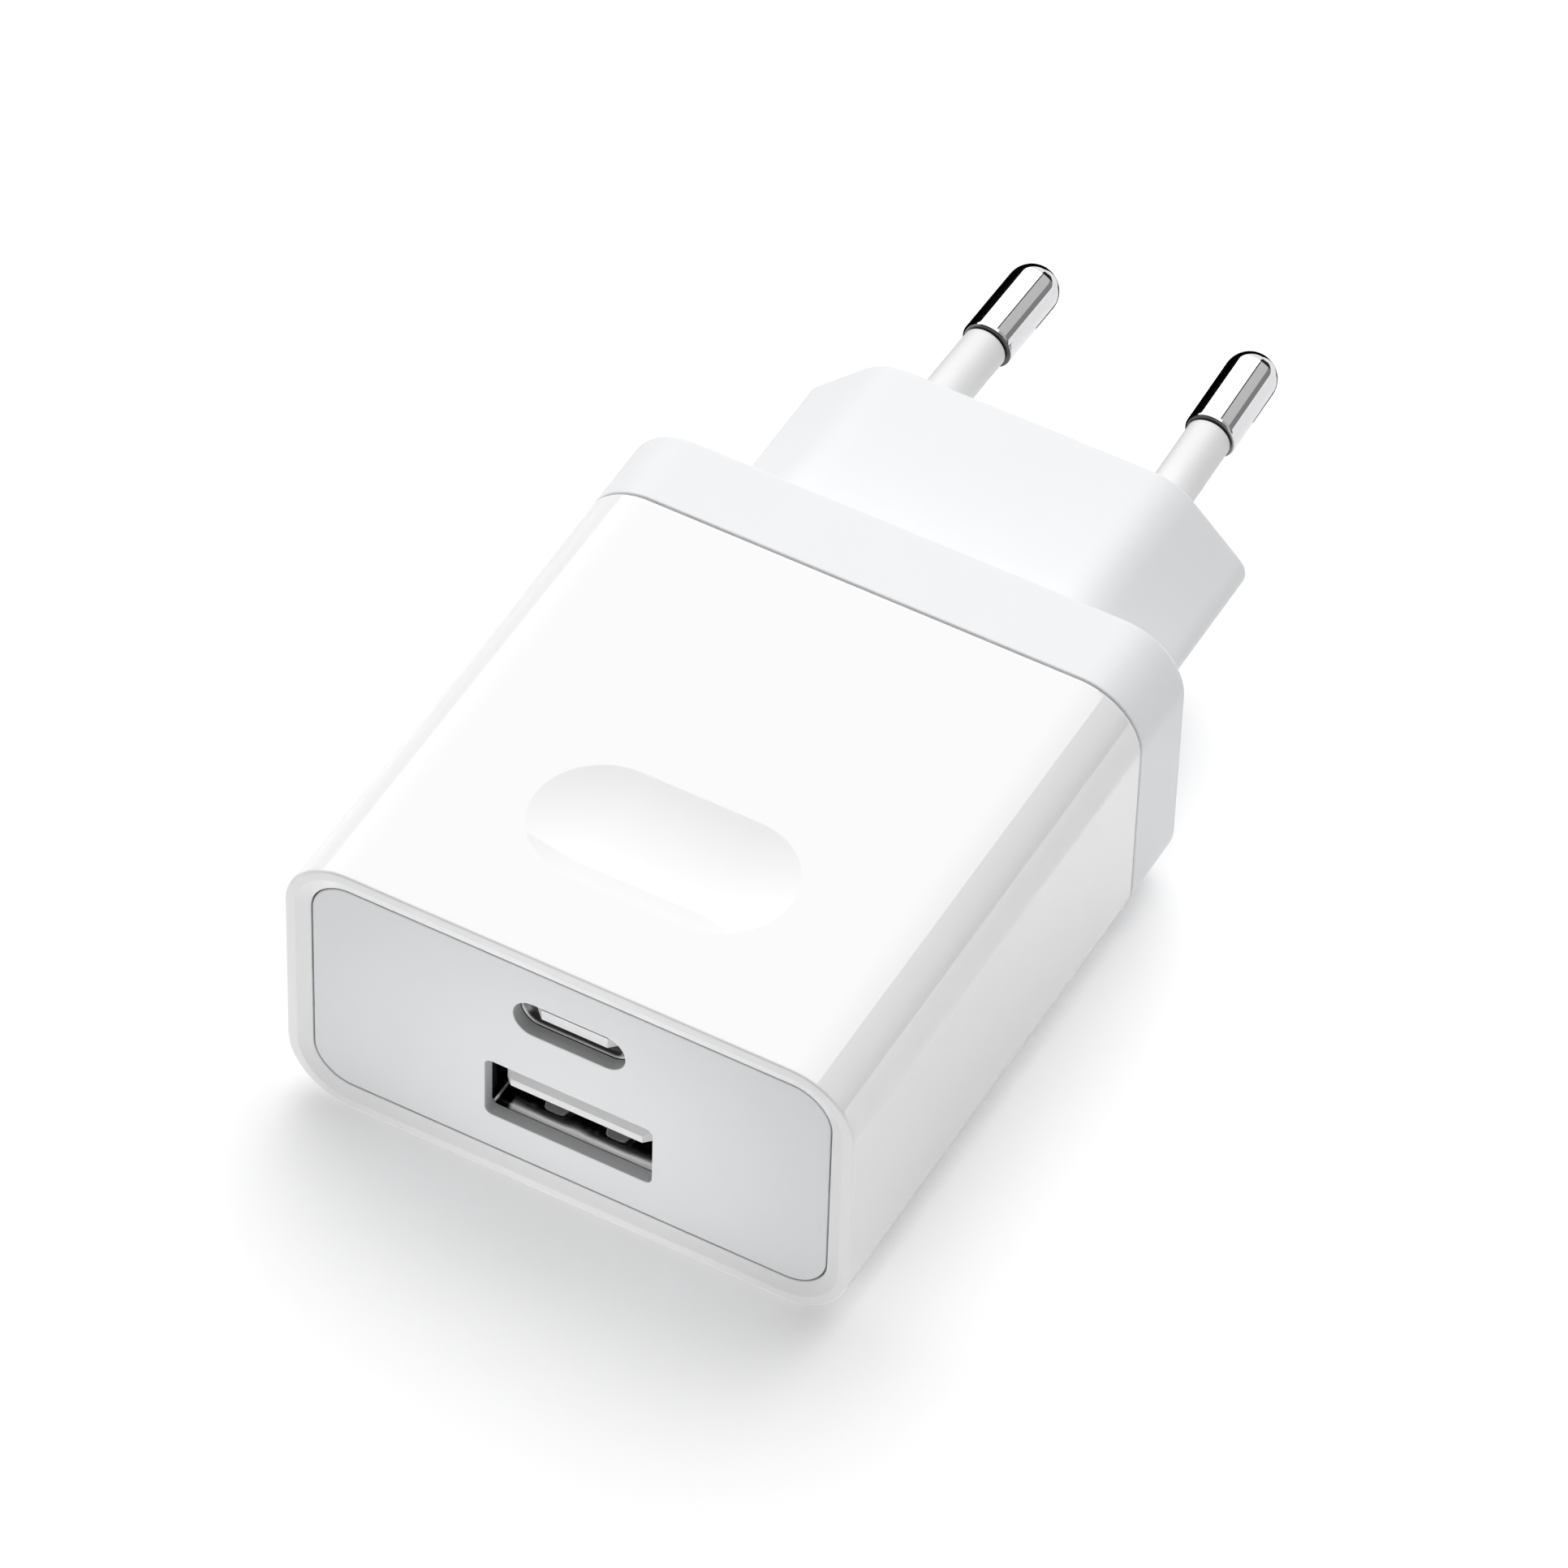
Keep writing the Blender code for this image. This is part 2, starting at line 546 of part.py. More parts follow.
def make_pins(chrome, sleeve_white, brass):
    """Two turned pins with a head inside the boss, each with an insulating sleeve and a strap."""
    neck = PIN_NECK_DIAMETER / 2
    head = PIN_HEAD_DIAMETER / 2
    body = PIN_DIAMETER / 2
    head_front = -BOSS_END_WALL - MOUNT_GAP
    dome = [(body * math.cos(a), PIN_LENGTH - body + body * math.sin(a))
            for a in (math.pi / 2 * i / DOME_STEPS for i in range(DOME_STEPS))]
    profile = [(head, -PIN_INNER_END), (head, head_front), (neck, head_front), (neck, SLEEVE_LENGTH),
               (body, SLEEVE_LENGTH), *dome, (0, PIN_LENGTH)]
    bore = neck + SLEEVE_FIT
    for side, label in ((-1, "left"), (1, "right")):
        base, direction = pin_axis(side)
        piece("pin_" + label, on_axis(turned(profile), base, direction), chrome)
        sleeve = tube(bore, SLEEVE_DIAMETER / 2, head_front + MOUNT_GAP, SLEEVE_LENGTH - SLEEVE_FIT)
        piece("pin_sleeve_" + label, on_axis(sleeve, base, direction), sleeve_white)
        across = side * (PIN_SPACING_AT_FACE / 2 - PIN_SLOPE * PIN_INNER_END)
        contact = BOSS_FACE - PIN_INNER_END - MOUNT_GAP - STRAP_THICKNESS / 2
        foot = BOARD_REAR - STRAP_THICKNESS
        path = [(contact, STRAP_DROP), (contact, -STRAP_DROP), (foot, -STRAP_DROP), (foot, BOARD_SEAT)]
        piece("pin_strap_" + label, strip(path, STRAP_THICKNESS, STRAP_WIDTH, across), brass)


def make_a_port(steel, insulator, gold):
    """The larger port: a metal shell with two windows, an insulator with a tongue, contacts and springs."""
    tube_profile = [(0, PORT_FRONT), (0, A_SHELL_REAR), (A_SHEET, A_SHELL_REAR), (A_SHEET, PORT_FRONT)]
    outer = A_SHEET - A_REVEAL
    rings = [[lengthways(u, v, t) for u, v in a_outline(outer - inset)] for inset, t in tube_profile]
    shell = piece("usb_a_shell", loft(rings, close_loop=True), steel)
    for side, label in ((-1, "left"), (1, "right")):
        middle = side * A_SPRING_SPACING / 2
        half = A_SPRING_WIDTH / 2 + A_SPRING_FIT
        low = (middle - half, A_SPRING_FRONT - A_SPRING_FIT, A_FLOOR - 2 * A_SHEET)
        high = (middle + half, A_SPRING_HINGE[0] + 2 * A_SPRING_FIT, A_FLOOR + A_SHEET)
        combine(shell, "window_" + label, block(low, high), "DIFFERENCE")
        make_a_spring("usb_a_spring_" + label, middle, steel)
    make_a_insulator(insulator)
    for number, across in enumerate(A_CONTACT_PLACES, start=1):
        make_a_contact("usb_a_contact_%d" % number, across, gold)


def make_a_spring(name, across, steel):
    """A gripping spring: a strip rooted at the rear of its window that bows up into the port."""
    depth, height = A_SPRING_HINGE
    crest = A_FLOOR + A_SPRING_RISE - A_SPRING_SHEET / 2
    nose = A_SPRING_FRONT + A_SPRING_NOSE
    path = [(depth + A_SPRING_FIT, height), (depth - A_SPRING_FLAT, height), (nose + A_SPRING_CREST, crest),
            (nose, crest), (A_SPRING_FRONT, height + A_SPRING_NOSE_RISE)]
    made = strip(path, A_SPRING_SHEET, A_SPRING_WIDTH, across)
    piece(name, made, steel, world(across, depth, height))


def make_a_insulator(insulator):
    """The plastic block at the back of the port, and the tongue with a lead-in and contact grooves."""
    half = A_WIDTH / 2 - A_REVEAL - A_TONGUE_SIDE_GAP
    low = A_TONGUE_BOTTOM
    top = low + A_TONGUE_THICKNESS
    lead = A_TONGUE_THICKNESS - A_TONGUE_LAND
    stations = [
        (A_TONGUE_FRONT, half - A_TONGUE_CHAMFER, low + A_TONGUE_LAND),
        (A_TONGUE_FRONT + A_TONGUE_CHAMFER, half, low + A_TONGUE_LAND + A_TONGUE_CHAMFER),
        (A_TONGUE_FRONT + lead, half, top),
        (A_BLOCK_FRONT + A_BLOCK_LENGTH / 2, half, top),
    ]
    rings = [[world(-x, y, low), world(x, y, low), world(x, y, z), world(-x, y, z)] for y, x, z in stations]
    tongue = piece("usb_a_insulator", loft(rings), insulator)
    body = prism(a_outline(-A_REVEAL - A_BLOCK_FIT), A_BLOCK_FRONT, A_SHELL_REAR)
    combine(tongue, "a_block", body, "UNION")
    groove_half = A_CONTACT_WIDTH / 2 + A_GROOVE_FIT
    rear = A_CONTACT_HINGE[0] + A_CONTACT_ROOT
    for number, across in enumerate(A_CONTACT_PLACES, start=1):
        cut_low = (across - groove_half, A_GROOVE_START, low - A_GROOVE_DEPTH)
        cut_high = (across + groove_half, rear, A_GROOVE_ROOF)
        combine(tongue, "groove_%d" % number, block(cut_low, cut_high), "DIFFERENCE")


def make_a_contact(name, across, gold):
    """A contact spring: a strip rooted in the block that bows down out of its groove."""
    depth, height = A_CONTACT_HINGE
    crest = A_TONGUE_BOTTOM - A_CONTACT_REACH + A_CONTACT_SHEET / 2
    tip = A_GROOVE_START + A_CONTACT_TIP_GAP
    nose = tip + A_CONTACT_NOSE
    path = [(depth + A_CONTACT_ROOT / 2, height), (depth - A_CONTACT_FLAT, height),
            (nose + A_CONTACT_CREST, crest), (nose, crest), (tip, (crest + height) / 2)]
    made = strip(path, A_CONTACT_SHEET, A_CONTACT_WIDTH, across)
    piece(name, made, gold, world(across, depth, height))


def make_c_port(steel, insulator, gold):
    """The smaller port: an oval metal shell, a thin tongue on a block, and two contact combs."""
    outer = C_SHEET - C_REVEAL
    profile = [(outer, PORT_FRONT), (outer, C_SHELL_REAR), (-C_REVEAL, C_SHELL_REAR), (-C_REVEAL, PORT_FRONT)]
    rings = [[lengthways(u, v, t) for u, v in c_outline(margin)] for margin, t in profile]
    piece("usb_c_shell", loft(rings, close_loop=True), steel)
    half = C_TONGUE_WIDTH / 2
    chamfer = C_TONGUE_CHAMFER
    block_front = C_SHELL_REAR - C_BLOCK_LENGTH
    inside = block_front + C_BLOCK_LENGTH / 2
    plan = [(-half, inside), (-half, C_TONGUE_FRONT + chamfer), (-half + chamfer, C_TONGUE_FRONT),
            (half - chamfer, C_TONGUE_FRONT), (half, C_TONGUE_FRONT + chamfer), (half, inside)]
    levels = [C_ABOVE_MIDDLE - C_TONGUE_THICKNESS / 2, C_ABOVE_MIDDLE + C_TONGUE_THICKNESS / 2]
    tongue = piece("usb_c_insulator", loft([[world(x, y, z) for x, y in plan] for z in levels]), insulator)
    base = prism(c_outline(-C_REVEAL - C_BLOCK_FIT), block_front, C_SHELL_REAR)
    combine(tongue, "c_block", base, "UNION")
    for label, side in (("upper", 1), ("lower", -1)):
        start = C_TONGUE_THICKNESS / 2 + C_CONTACT_GAP
        heights = [C_ABOVE_MIDDLE + side * start, C_ABOVE_MIDDLE + side * (start + C_CONTACT_SHEET)]
        outline = comb_outline(C_TONGUE_FRONT + C_CONTACT_SETBACK, block_front - C_CONTACT_GAP)
        comb = loft([[world(x, y, z) for x, y in outline] for z in heights])
        piece("usb_c_contacts_" + label, comb, gold)


def comb_outline(front, rear):
    """A row of contact fingers joined by a bar at the back, as (across, depth) points."""
    fingers = []
    for number in range(C_CONTACT_COUNT):
        middle = (number - (C_CONTACT_COUNT - 1) / 2) * C_CONTACT_PITCH
        left, right = middle - C_CONTACT_WIDTH / 2, middle + C_CONTACT_WIDTH / 2
        bar = rear - C_COMB_BACK
        fingers += [(left, bar), (left, front), (right, front), (right, bar)]
    return [(fingers[0][0], rear)] + fingers + [(fingers[-1][0], rear)]


def make_boards(green, black):
    """The main board on its ribs, the riser board that carries the smaller port, and their connector."""
    low = (-BOARD_HALF_WIDTH, BOARD_FRONT, BOARD_TOP - BOARD_THICKNESS)
    piece("main_board", block(low, (BOARD_HALF_WIDTH, BOARD_REAR, BOARD_TOP)), green)
    low = (-RISER_WIDTH / 2, PANEL_BACK + RISER_FRONT_GAP, RISER_TOP - RISER_THICKNESS)
    piece("riser_board", block(low, (RISER_WIDTH / 2, RISER_REAR, RISER_TOP)), green)
    low = (-HEADER_WIDTH / 2, HEADER_FRONT, BOARD_SEAT)
    high = (HEADER_WIDTH / 2, RISER_REAR, RISER_TOP - RISER_THICKNESS - MOUNT_GAP)
    piece("riser_header", block(low, high), black)


def make_transformer(ferrite, bobbin_white, copper, yellow):
    """Two E-shaped core halves round a bobbin with its winding, held by a band of tape."""
    across, depth = CORE_AT
    base = BOARD_SEAT + TAPE_ROOM

    def upright(u, v, t):
        return world(across + u, depth + v, base + t)

    def core_half(name, outer, joint):
        side, middle = CORE_WIDTH / 2, CORE_MIDDLE_LEG / 2
        window = side - CORE_SIDE_LEG
        inner = outer + math.copysign(CORE_PLATE, joint - outer)
        outline = [(-side, outer), (side, outer), (side, joint), (window, joint), (window, inner),
                   (middle, inner), (middle, joint), (-middle, joint), (-middle, inner),
                   (-window, inner), (-window, joint), (-side, joint)]
        faces = (-CORE_DEPTH / 2, CORE_DEPTH / 2)
        piece(name, loft([[upright(x, y, z) for x, z in outline] for y in faces]), ferrite)

    core_half("transformer_core_lower", 0, CORE_HEIGHT / 2 - CORE_JOINT / 2)
    core_half("transformer_core_upper", CORE_HEIGHT, CORE_HEIGHT / 2 + CORE_JOINT / 2)

    def wrapped(profile):
        return frame_sweep(profile, BOBBIN_WIDTH, BOBBIN_DEPTH, corner, upright, SMALL_CORNER_STEPS)

    low, high = CORE_PLATE + BOBBIN_FIT, CORE_HEIGHT - CORE_PLATE - BOBBIN_FIT
    hole = BOBBIN_REACH - BOBBIN_FIT
    waist = hole - BOBBIN_WALL
    corner = BOBBIN_CORNER + hole
    profile = [(0, low), (0, low + BOBBIN_FLANGE), (waist, low + BOBBIN_FLANGE),
               (waist, high - BOBBIN_FLANGE), (0, high - BOBBIN_FLANGE), (0, high), (hole, high), (hole, low)]
    piece("transformer_bobbin", wrapped(profile), bobbin_white)
    wire_low, wire_high = low + BOBBIN_FLANGE + WINDING_GAP, high - BOBBIN_FLANGE - WINDING_GAP
    wire_out, wire_in = WINDING_GAP, waist - WINDING_GAP
    profile = [(wire_out, wire_low), (wire_out, wire_high), (wire_in, wire_high), (wire_in, wire_low)]
    piece("transformer_winding", wrapped(profile), copper)

    def banded(u, v, t):
        return world(across + u, depth + t, base + CORE_HEIGHT / 2 + v)

    profile = [(0, -TAPE_WIDTH / 2), (0, TAPE_WIDTH / 2),
               (TAPE_THICKNESS, TAPE_WIDTH / 2), (TAPE_THICKNESS, -TAPE_WIDTH / 2)]
    wide, tall = CORE_WIDTH + 2 * TAPE_ROOM, CORE_HEIGHT + 2 * TAPE_ROOM
    band = frame_sweep(profile, wide, tall, TAPE_ROOM, banded, SMALL_CORNER_STEPS)
    piece("transformer_tape", band, yellow)


def standing(mesh, across, depth):
    """Stands a turned part on the main board."""
    return on_axis(mesh, world(across, depth, BOARD_SEAT), Vector((0.0, 0.0, 1.0)))


def can_profile(radius, height):
    """A capacitor can: straight sides with a small chamfer at each end."""
    return [(radius - CAN_RIM, 0), (radius, CAN_RIM), (radius, height - CAN_RIM), (radius - CAN_RIM, height)]


def make_board_parts(sleeve_dark, can_metal, ferrite, beige, blue, black):
    """The parts that stand on the boards."""
    across, depth = BULK_CAN_AT
    for number in (1, 2):
        can = turned(can_profile(BULK_CAN_DIAMETER / 2, TALL_ROOM))
        made = standing(can, across - (number - 1) * BULK_CAN_PITCH, depth)
        piece("bulk_capacitor_%d" % number, made, sleeve_dark)
    across, depth = OUTPUT_CAN_AT
    for number, side in ((1, -1), (2, 1)):
        can = turned(can_profile(OUTPUT_CAN_DIAMETER / 2, OUTPUT_CAN_HEIGHT))
        piece("output_capacitor_%d" % number, standing(can, side * across, depth), can_metal)
    wide, waist = CHOKE_DIAMETER / 2, CHOKE_DIAMETER / 2 - CHOKE_GROOVE
    profile = [(wide, 0), (wide, CHOKE_FLANGE), (waist, CHOKE_FLANGE), (waist, CHOKE_HEIGHT - CHOKE_FLANGE),
               (wide, CHOKE_HEIGHT - CHOKE_FLANGE), (wide, CHOKE_HEIGHT)]
    piece("input_choke", standing(turned(profile), *CHOKE_AT), ferrite)
    wide, waist = FUSE_DIAMETER / 2, FUSE_DIAMETER / 2 - FUSE_NECK
    half = FUSE_LENGTH / 2
    profile = [(wide, -half), (wide, FUSE_CAP - half), (waist, FUSE_CAP - half), (waist, half - FUSE_CAP),
               (wide, half - FUSE_CAP), (wide, half)]
    middle = world(FUSE_AT[0], FUSE_AT[1], BOARD_SEAT + wide)
    piece("fuse_resistor", on_axis(turned(profile), middle, Vector((1.0, 0.0, 0.0))), beige)
    radius, half = DISC_DIAMETER / 2, DISC_THICKNESS / 2
    profile = [(radius - DISC_RIM, -half), (radius, DISC_RIM - half), (radius, half - DISC_RIM),
               (radius - DISC_RIM, half)]
    middle = world(DISC_AT[0], DISC_AT[1], BOARD_SEAT + radius)
    piece("safety_capacitor", on_axis(turned(profile), middle, Vector((1.0, 0.0, 0.0))), blue)
    chips = (
        ("bridge_rectifier", BRIDGE_SIZE, BRIDGE_AT, BOARD_SEAT),
        ("primary_controller", PRIMARY_CHIP_SIZE, PRIMARY_CHIP_AT, BOARD_SEAT),
        ("rectifier_controller", RECTIFIER_CHIP_SIZE, RECTIFIER_CHIP_AT, BOARD_SEAT),
        ("port_controller", PORT_CHIP_SIZE, PORT_CHIP_AT, RISER_SEAT),
    )
    for name, (wide, deep, tall), (across, depth), seat in chips:
        low = (across - wide / 2, depth - deep / 2, seat)
        chip = piece(name, block(low, (across + wide / 2, depth + deep / 2, seat + tall)), black)
        bevel = chip.modifiers.new("moulded_edges", "BEVEL")
        bevel.width = CHIP_BEVEL * MM
        bevel.segments = 1


def main():
    remove_old_objects()
    white = finish("casing_white", (0.90, 0.90, 0.91), 0.18)
    cover_white = finish("cover_white", (0.87, 0.88, 0.90), 0.25)
    grey = finish("panel_grey", (0.68, 0.70, 0.71), 0.45)
    sleeve_white = finish("sleeve_white", (0.86, 0.86, 0.87), 0.40)
    chrome = finish("pin_chrome", (0.80, 0.80, 0.81), 0.08, 1.0)
    brass = finish("strap_brass", (0.80, 0.62, 0.30), 0.30, 1.0)
    steel = finish("port_steel", (0.62, 0.62, 0.63), 0.20, 1.0)
    insulator = finish("port_insulator", (0.82, 0.82, 0.82), 0.50)
    gold = finish("contact_gold", (0.90, 0.70, 0.32), 0.25, 1.0)
    green = finish("board_green", (0.03, 0.20, 0.09), 0.45)
    black = finish("chip_black", (0.03, 0.03, 0.03), 0.50)
    ferrite = finish("ferrite", (0.06, 0.06, 0.065), 0.60)
    bobbin_white = finish("bobbin_white", (0.75, 0.74, 0.70), 0.50)
    copper = finish("winding_copper", (0.70, 0.36, 0.18), 0.35, 1.0)
    yellow = finish("tape_yellow", (0.80, 0.62, 0.10), 0.40)
    sleeve_dark = finish("can_sleeve", (0.05, 0.05, 0.07), 0.40)
    can_metal = finish("can_metal", (0.75, 0.75, 0.76), 0.30, 1.0)
    beige = finish("fuse_beige", (0.62, 0.52, 0.36), 0.55)
    blue = finish("disc_blue", (0.08, 0.20, 0.50), 0.50)

    make_main_shell(white)
    make_front_panel(grey)
    make_rear_cover(cover_white)
    make_pins(chrome, sleeve_white, brass)
    make_a_port(steel, insulator, gold)
    make_c_port(steel, insulator, gold)
    make_boards(green, black)
    make_transformer(ferrite, bobbin_white, copper, yellow)
    make_board_parts(sleeve_dark, can_metal, ferrite, beige, blue, black)


main()
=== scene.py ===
"""The looks of a two-port wall charger with two round pins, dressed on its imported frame.

Lengths are millimetres in the casing's own directions: across the width, depth behind the front
lip, and height over the middle plane. They become metres in the frame where a mesh is made. The
camera and the flags are placed in millimetres in the frame, and the rest of the studio in metres.
"""
import math

import bmesh
import bpy
import numpy as np
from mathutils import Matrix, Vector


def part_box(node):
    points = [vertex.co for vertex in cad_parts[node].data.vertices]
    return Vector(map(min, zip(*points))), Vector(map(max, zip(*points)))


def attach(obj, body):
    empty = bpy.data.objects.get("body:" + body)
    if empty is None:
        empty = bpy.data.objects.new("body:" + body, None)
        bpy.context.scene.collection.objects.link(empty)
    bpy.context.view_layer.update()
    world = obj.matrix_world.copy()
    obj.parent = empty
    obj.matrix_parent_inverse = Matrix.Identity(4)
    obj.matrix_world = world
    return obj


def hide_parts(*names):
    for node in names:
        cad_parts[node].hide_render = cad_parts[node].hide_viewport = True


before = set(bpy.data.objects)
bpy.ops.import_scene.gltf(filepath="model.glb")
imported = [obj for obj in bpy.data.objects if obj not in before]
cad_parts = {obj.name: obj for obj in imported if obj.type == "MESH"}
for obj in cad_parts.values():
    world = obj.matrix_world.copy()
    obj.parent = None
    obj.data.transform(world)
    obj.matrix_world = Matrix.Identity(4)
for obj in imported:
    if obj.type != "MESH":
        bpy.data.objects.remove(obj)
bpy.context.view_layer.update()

MM = 0.001
ACROSS, DEPTH, HEIGHT = range(3)
SIDES = ((-1, "left"), (1, "right"))

# Where the casing lies in the frame
shell_low, shell_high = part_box("main_shell")
LIP = shell_low.y / MM
MIDDLE = (shell_low.z + shell_high.z) / 2 / MM


def casing_box(node):
    """A frame node's lowest and highest corner as (across, depth, height)."""
    low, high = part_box(node)
    home = np.array([0.0, LIP, MIDDLE])
    return np.array(low) / MM - home, np.array(high) / MM - home


SHELL_HIGH = casing_box("main_shell")[1]
PANEL_LOW, PANEL_HIGH = casing_box("front_panel")
COVER_LOW, COVER_HIGH = casing_box("rear_cover")
A_SHELL_LOW, A_SHELL_HIGH = casing_box("usb_a_shell")
C_SHELL_LOW, C_SHELL_HIGH = casing_box("usb_c_shell")

# Camera: its place, its turn in degrees, its lens and its sensor
CAMERA_PLACE = (212.744, -417.888, 511.121)
CAMERA_TURN = (42.6109, -1.2743, 29.0570)
CAMERA_LENS = 230.28
CAMERA_SENSOR = 36.0

# Casing
HALF_WIDTH = SHELL_HIGH[ACROSS]
HALF_HEIGHT = SHELL_HIGH[HEIGHT]
SHELL_LENGTH = SHELL_HIGH[DEPTH]
CORNER_RADIUS = 4.9
LIP_LAND = 0.8
LIP_BEVEL = 1.0
LIP_EDGE_RADIUS = 0.2
LIP_CREASE_RADIUS = 0.12
SHELL_WALL = 2.3
SEAT_DEPTH = 1.49
REBATE_WALL = 1.0
REBATE_DEPTH = 2.8
SEAM_EDGE_RADIUS = 0.12
RECESS_LENGTH = 19.4
RECESS_WIDTH = 10.4
RECESS_SAG = 0.9
RECESS_SETBACK = 12.7
RECESS_MARGIN = 1.4
RECESS_EDGE = 0.06

# Front panel and its two openings
PANEL_FACE = PANEL_LOW[DEPTH]
PANEL_BACK = PANEL_HIGH[DEPTH]
PANEL_INSET = HALF_WIDTH - PANEL_HIGH[ACROSS]
PANEL_EDGE_RADIUS = 0.1
SLOT_EDGE_RADIUS = 0.06
FLAT_START = 0.3
A_MIDDLE = (A_SHELL_LOW[HEIGHT] + A_SHELL_HIGH[HEIGHT]) / 2
A_WIDTH = 12.75
A_HEIGHT = 5.35
A_CORNER_RADIUS = 0.55
C_MIDDLE = (C_SHELL_LOW[HEIGHT] + C_SHELL_HIGH[HEIGHT]) / 2
C_WIDTH = 8.48
C_HEIGHT = 3.04

# Rear cover and plug boss
SEAM_GAP = 0.15
COVER_FRONT = COVER_LOW[DEPTH]
COVER_REAR = 46.47
COVER_REAR_WALL = 2.0
COVER_EDGE_RADIUS = 0.25
SPIGOT_INSET = 1.15
BOSS_WIDTH = 36.0
BOSS_HEIGHT = 12.6
BOSS_FLAT = 23.1
BOSS_TIP_RADIUS = 1.8
BOSS_EDGE_RADIUS = 4.85
BOSS_FACE = COVER_HIGH[DEPTH]
BOSS_WALL = 1.6
BOSS_END_WALL = 3.0
BOSS_FOOT_RADIUS = 0.12
BOSS_RIM_RADIUS = 0.25

# Pins and sleeves: distances along them are from the boss's face
PIN_LENGTH = 18.995
PIN_RADIUS = 1.97
PIN_NECK_RADIUS = 1.2
PIN_HEAD_RADIUS = 2.5
PIN_HEAD_BACK = -4.45
PIN_HEAD_FRONT = -3.15
PIN_HEAD_EDGE = 0.15
PIN_SHOULDER = 10.5
PIN_SHOULDER_RADIUS = 0.22
PIN_AT_FACE = 9.2
PIN_AT_TIP = 8.65
PIN_HOLE_RADIUS = 1.83
SLEEVE_RADIUS = 1.68
SLEEVE_BORE = 1.3
SLEEVE_BACK = -3.0
SLEEVE_FRONT = 10.4
SLEEVE_EDGE_RADIUS = 0.12

# Port shells and gripping springs
A_SHEET = 0.3
A_REVEAL = 0.06
A_BEND_RADIUS = 0.3
A_HALF_WIDTH = A_WIDTH / 2 - A_REVEAL
A_FLOOR = A_MIDDLE - A_HEIGHT / 2 + A_REVEAL
A_ROOF = 2 * A_MIDDLE - A_FLOOR
C_SHEET = 0.2
C_REVEAL = 0.09
SPRING_SPACING = 4.7
SPRING_WIDTH = 2.1
SPRING_SHEET = 0.25
SPRING_FRONT = 2.59
SPRING_HINGE = 8.89
SPRING_FIT = 0.2
SPRING_FLAT = 1.2
SPRING_NOSE = 1.32
SPRING_CREST = 1.08
SPRING_RISE = 0.4
SPRING_NOSE_RISE = 0.08
SPRING_BEND_RADIUS = 0.9
SPRING_CORNER_RADIUS = 0.7

# How finely surfaces are cut
ARC_STEPS = 24
EDGE_STEPS = 6
RUN_STEPS = 44
BOSS_RUN_STEPS = 8
RECESS_COLUMNS = 30
RECESS_ROWS = 26
RECESS_RINGS = 16
TURN_STEPS = 96
TURN = np.linspace(0, 2 * np.pi, TURN_STEPS, endpoint=False)
DOME_STEPS = 20
C_SHELL_RINGS = 4
SPRING_LEAD_STEPS = 10
SPRING_COLUMNS = 9
CARD_STEPS = 24
GUARD = 0.12
LONG_RUN = 0.8
CREASE_ANGLE = math.radians(32)

# Tolerances: points that touch, merge or lie in a plane, and what keeps ends and angles apart
TOUCH = 1e-6
MERGE = 1e-4
IN_PLANE = 1e-3
END_SPARE = 1e-4
ANGLE_NUDGE = 1e-10
ANGLE_DIGITS = 8


def grid(x, y, z):
    """Points from three arrays that broadcast."""
    return np.stack(np.broadcast_arrays(x, y, z), axis=-1)


def place(across, depth, height):
    """Points in the frame, in metres, from arrays of across, depth and height that broadcast."""
    return grid(across, depth + LIP, height + MIDDLE) * MM


def within(values, low, high):
    """Marks the values from low to high, with both ends."""
    return (values > low - TOUCH) & (values < high + TOUCH)


def distinct(points, *others):
    """Drops each point of a row that sits on the one before it, and the same rows of the others."""
    step = np.linalg.norm(points - np.roll(points, 1, axis=0), axis=1)
    kept = step > TOUCH
    return [points[kept]] + [other[kept] for other in others]


def rounded_outline(corners, radii, arc_steps, run_steps=1):
    """A closed polygon with round corners, and the outward direction at each of its points.

    Each corner is an arc that touches both sides: its centre lies a radius inside the sides, and
    the direction turns evenly from one side's normal to the next. The sides are cut into equal runs.
    """
    corners = np.array(corners, float)
    radii = np.broadcast_to(np.array(radii, float), len(corners))[:, None]
    side = np.roll(corners, -1, axis=0) - corners
    side /= np.linalg.norm(side, axis=1, keepdims=True)
    facing = np.stack([side[:, 1], -side[:, 0]], axis=1)
    before = np.roll(facing, 1, axis=0)
    first = np.arctan2(before[:, 1], before[:, 0])
    turn = np.arctan2(facing[:, 1], facing[:, 0]) - first
    turn = (turn + np.pi) % (2 * np.pi) - np.pi
    way = np.sign(turn)[:, None]
    start = corners - np.roll(side, 1, axis=0) * radii * np.tan(np.abs(turn) / 2)[:, None]
    centre = start - before * radii * way
    angle = first[:, None] + turn[:, None] * np.linspace(0, 1, arc_steps + 1)
    spoke = np.stack([np.cos(angle), np.sin(angle)], axis=-1)
    arcs = centre[:, None] + spoke * (radii * way)[:, None]
    along = np.linspace(0, 1, run_steps + 1)[1:-1, None]
    gap = (np.roll(arcs[:, 0], -1, axis=0) - arcs[:, -1])[:, None]
    runs = arcs[:, -1:] + gap * along
    directions = np.concatenate([spoke, np.broadcast_to(spoke[:, -1:], runs.shape)], axis=1)
    points = np.concatenate([arcs, runs], axis=1)
    return distinct(points.reshape(-1, 2), directions.reshape(-1, 2))


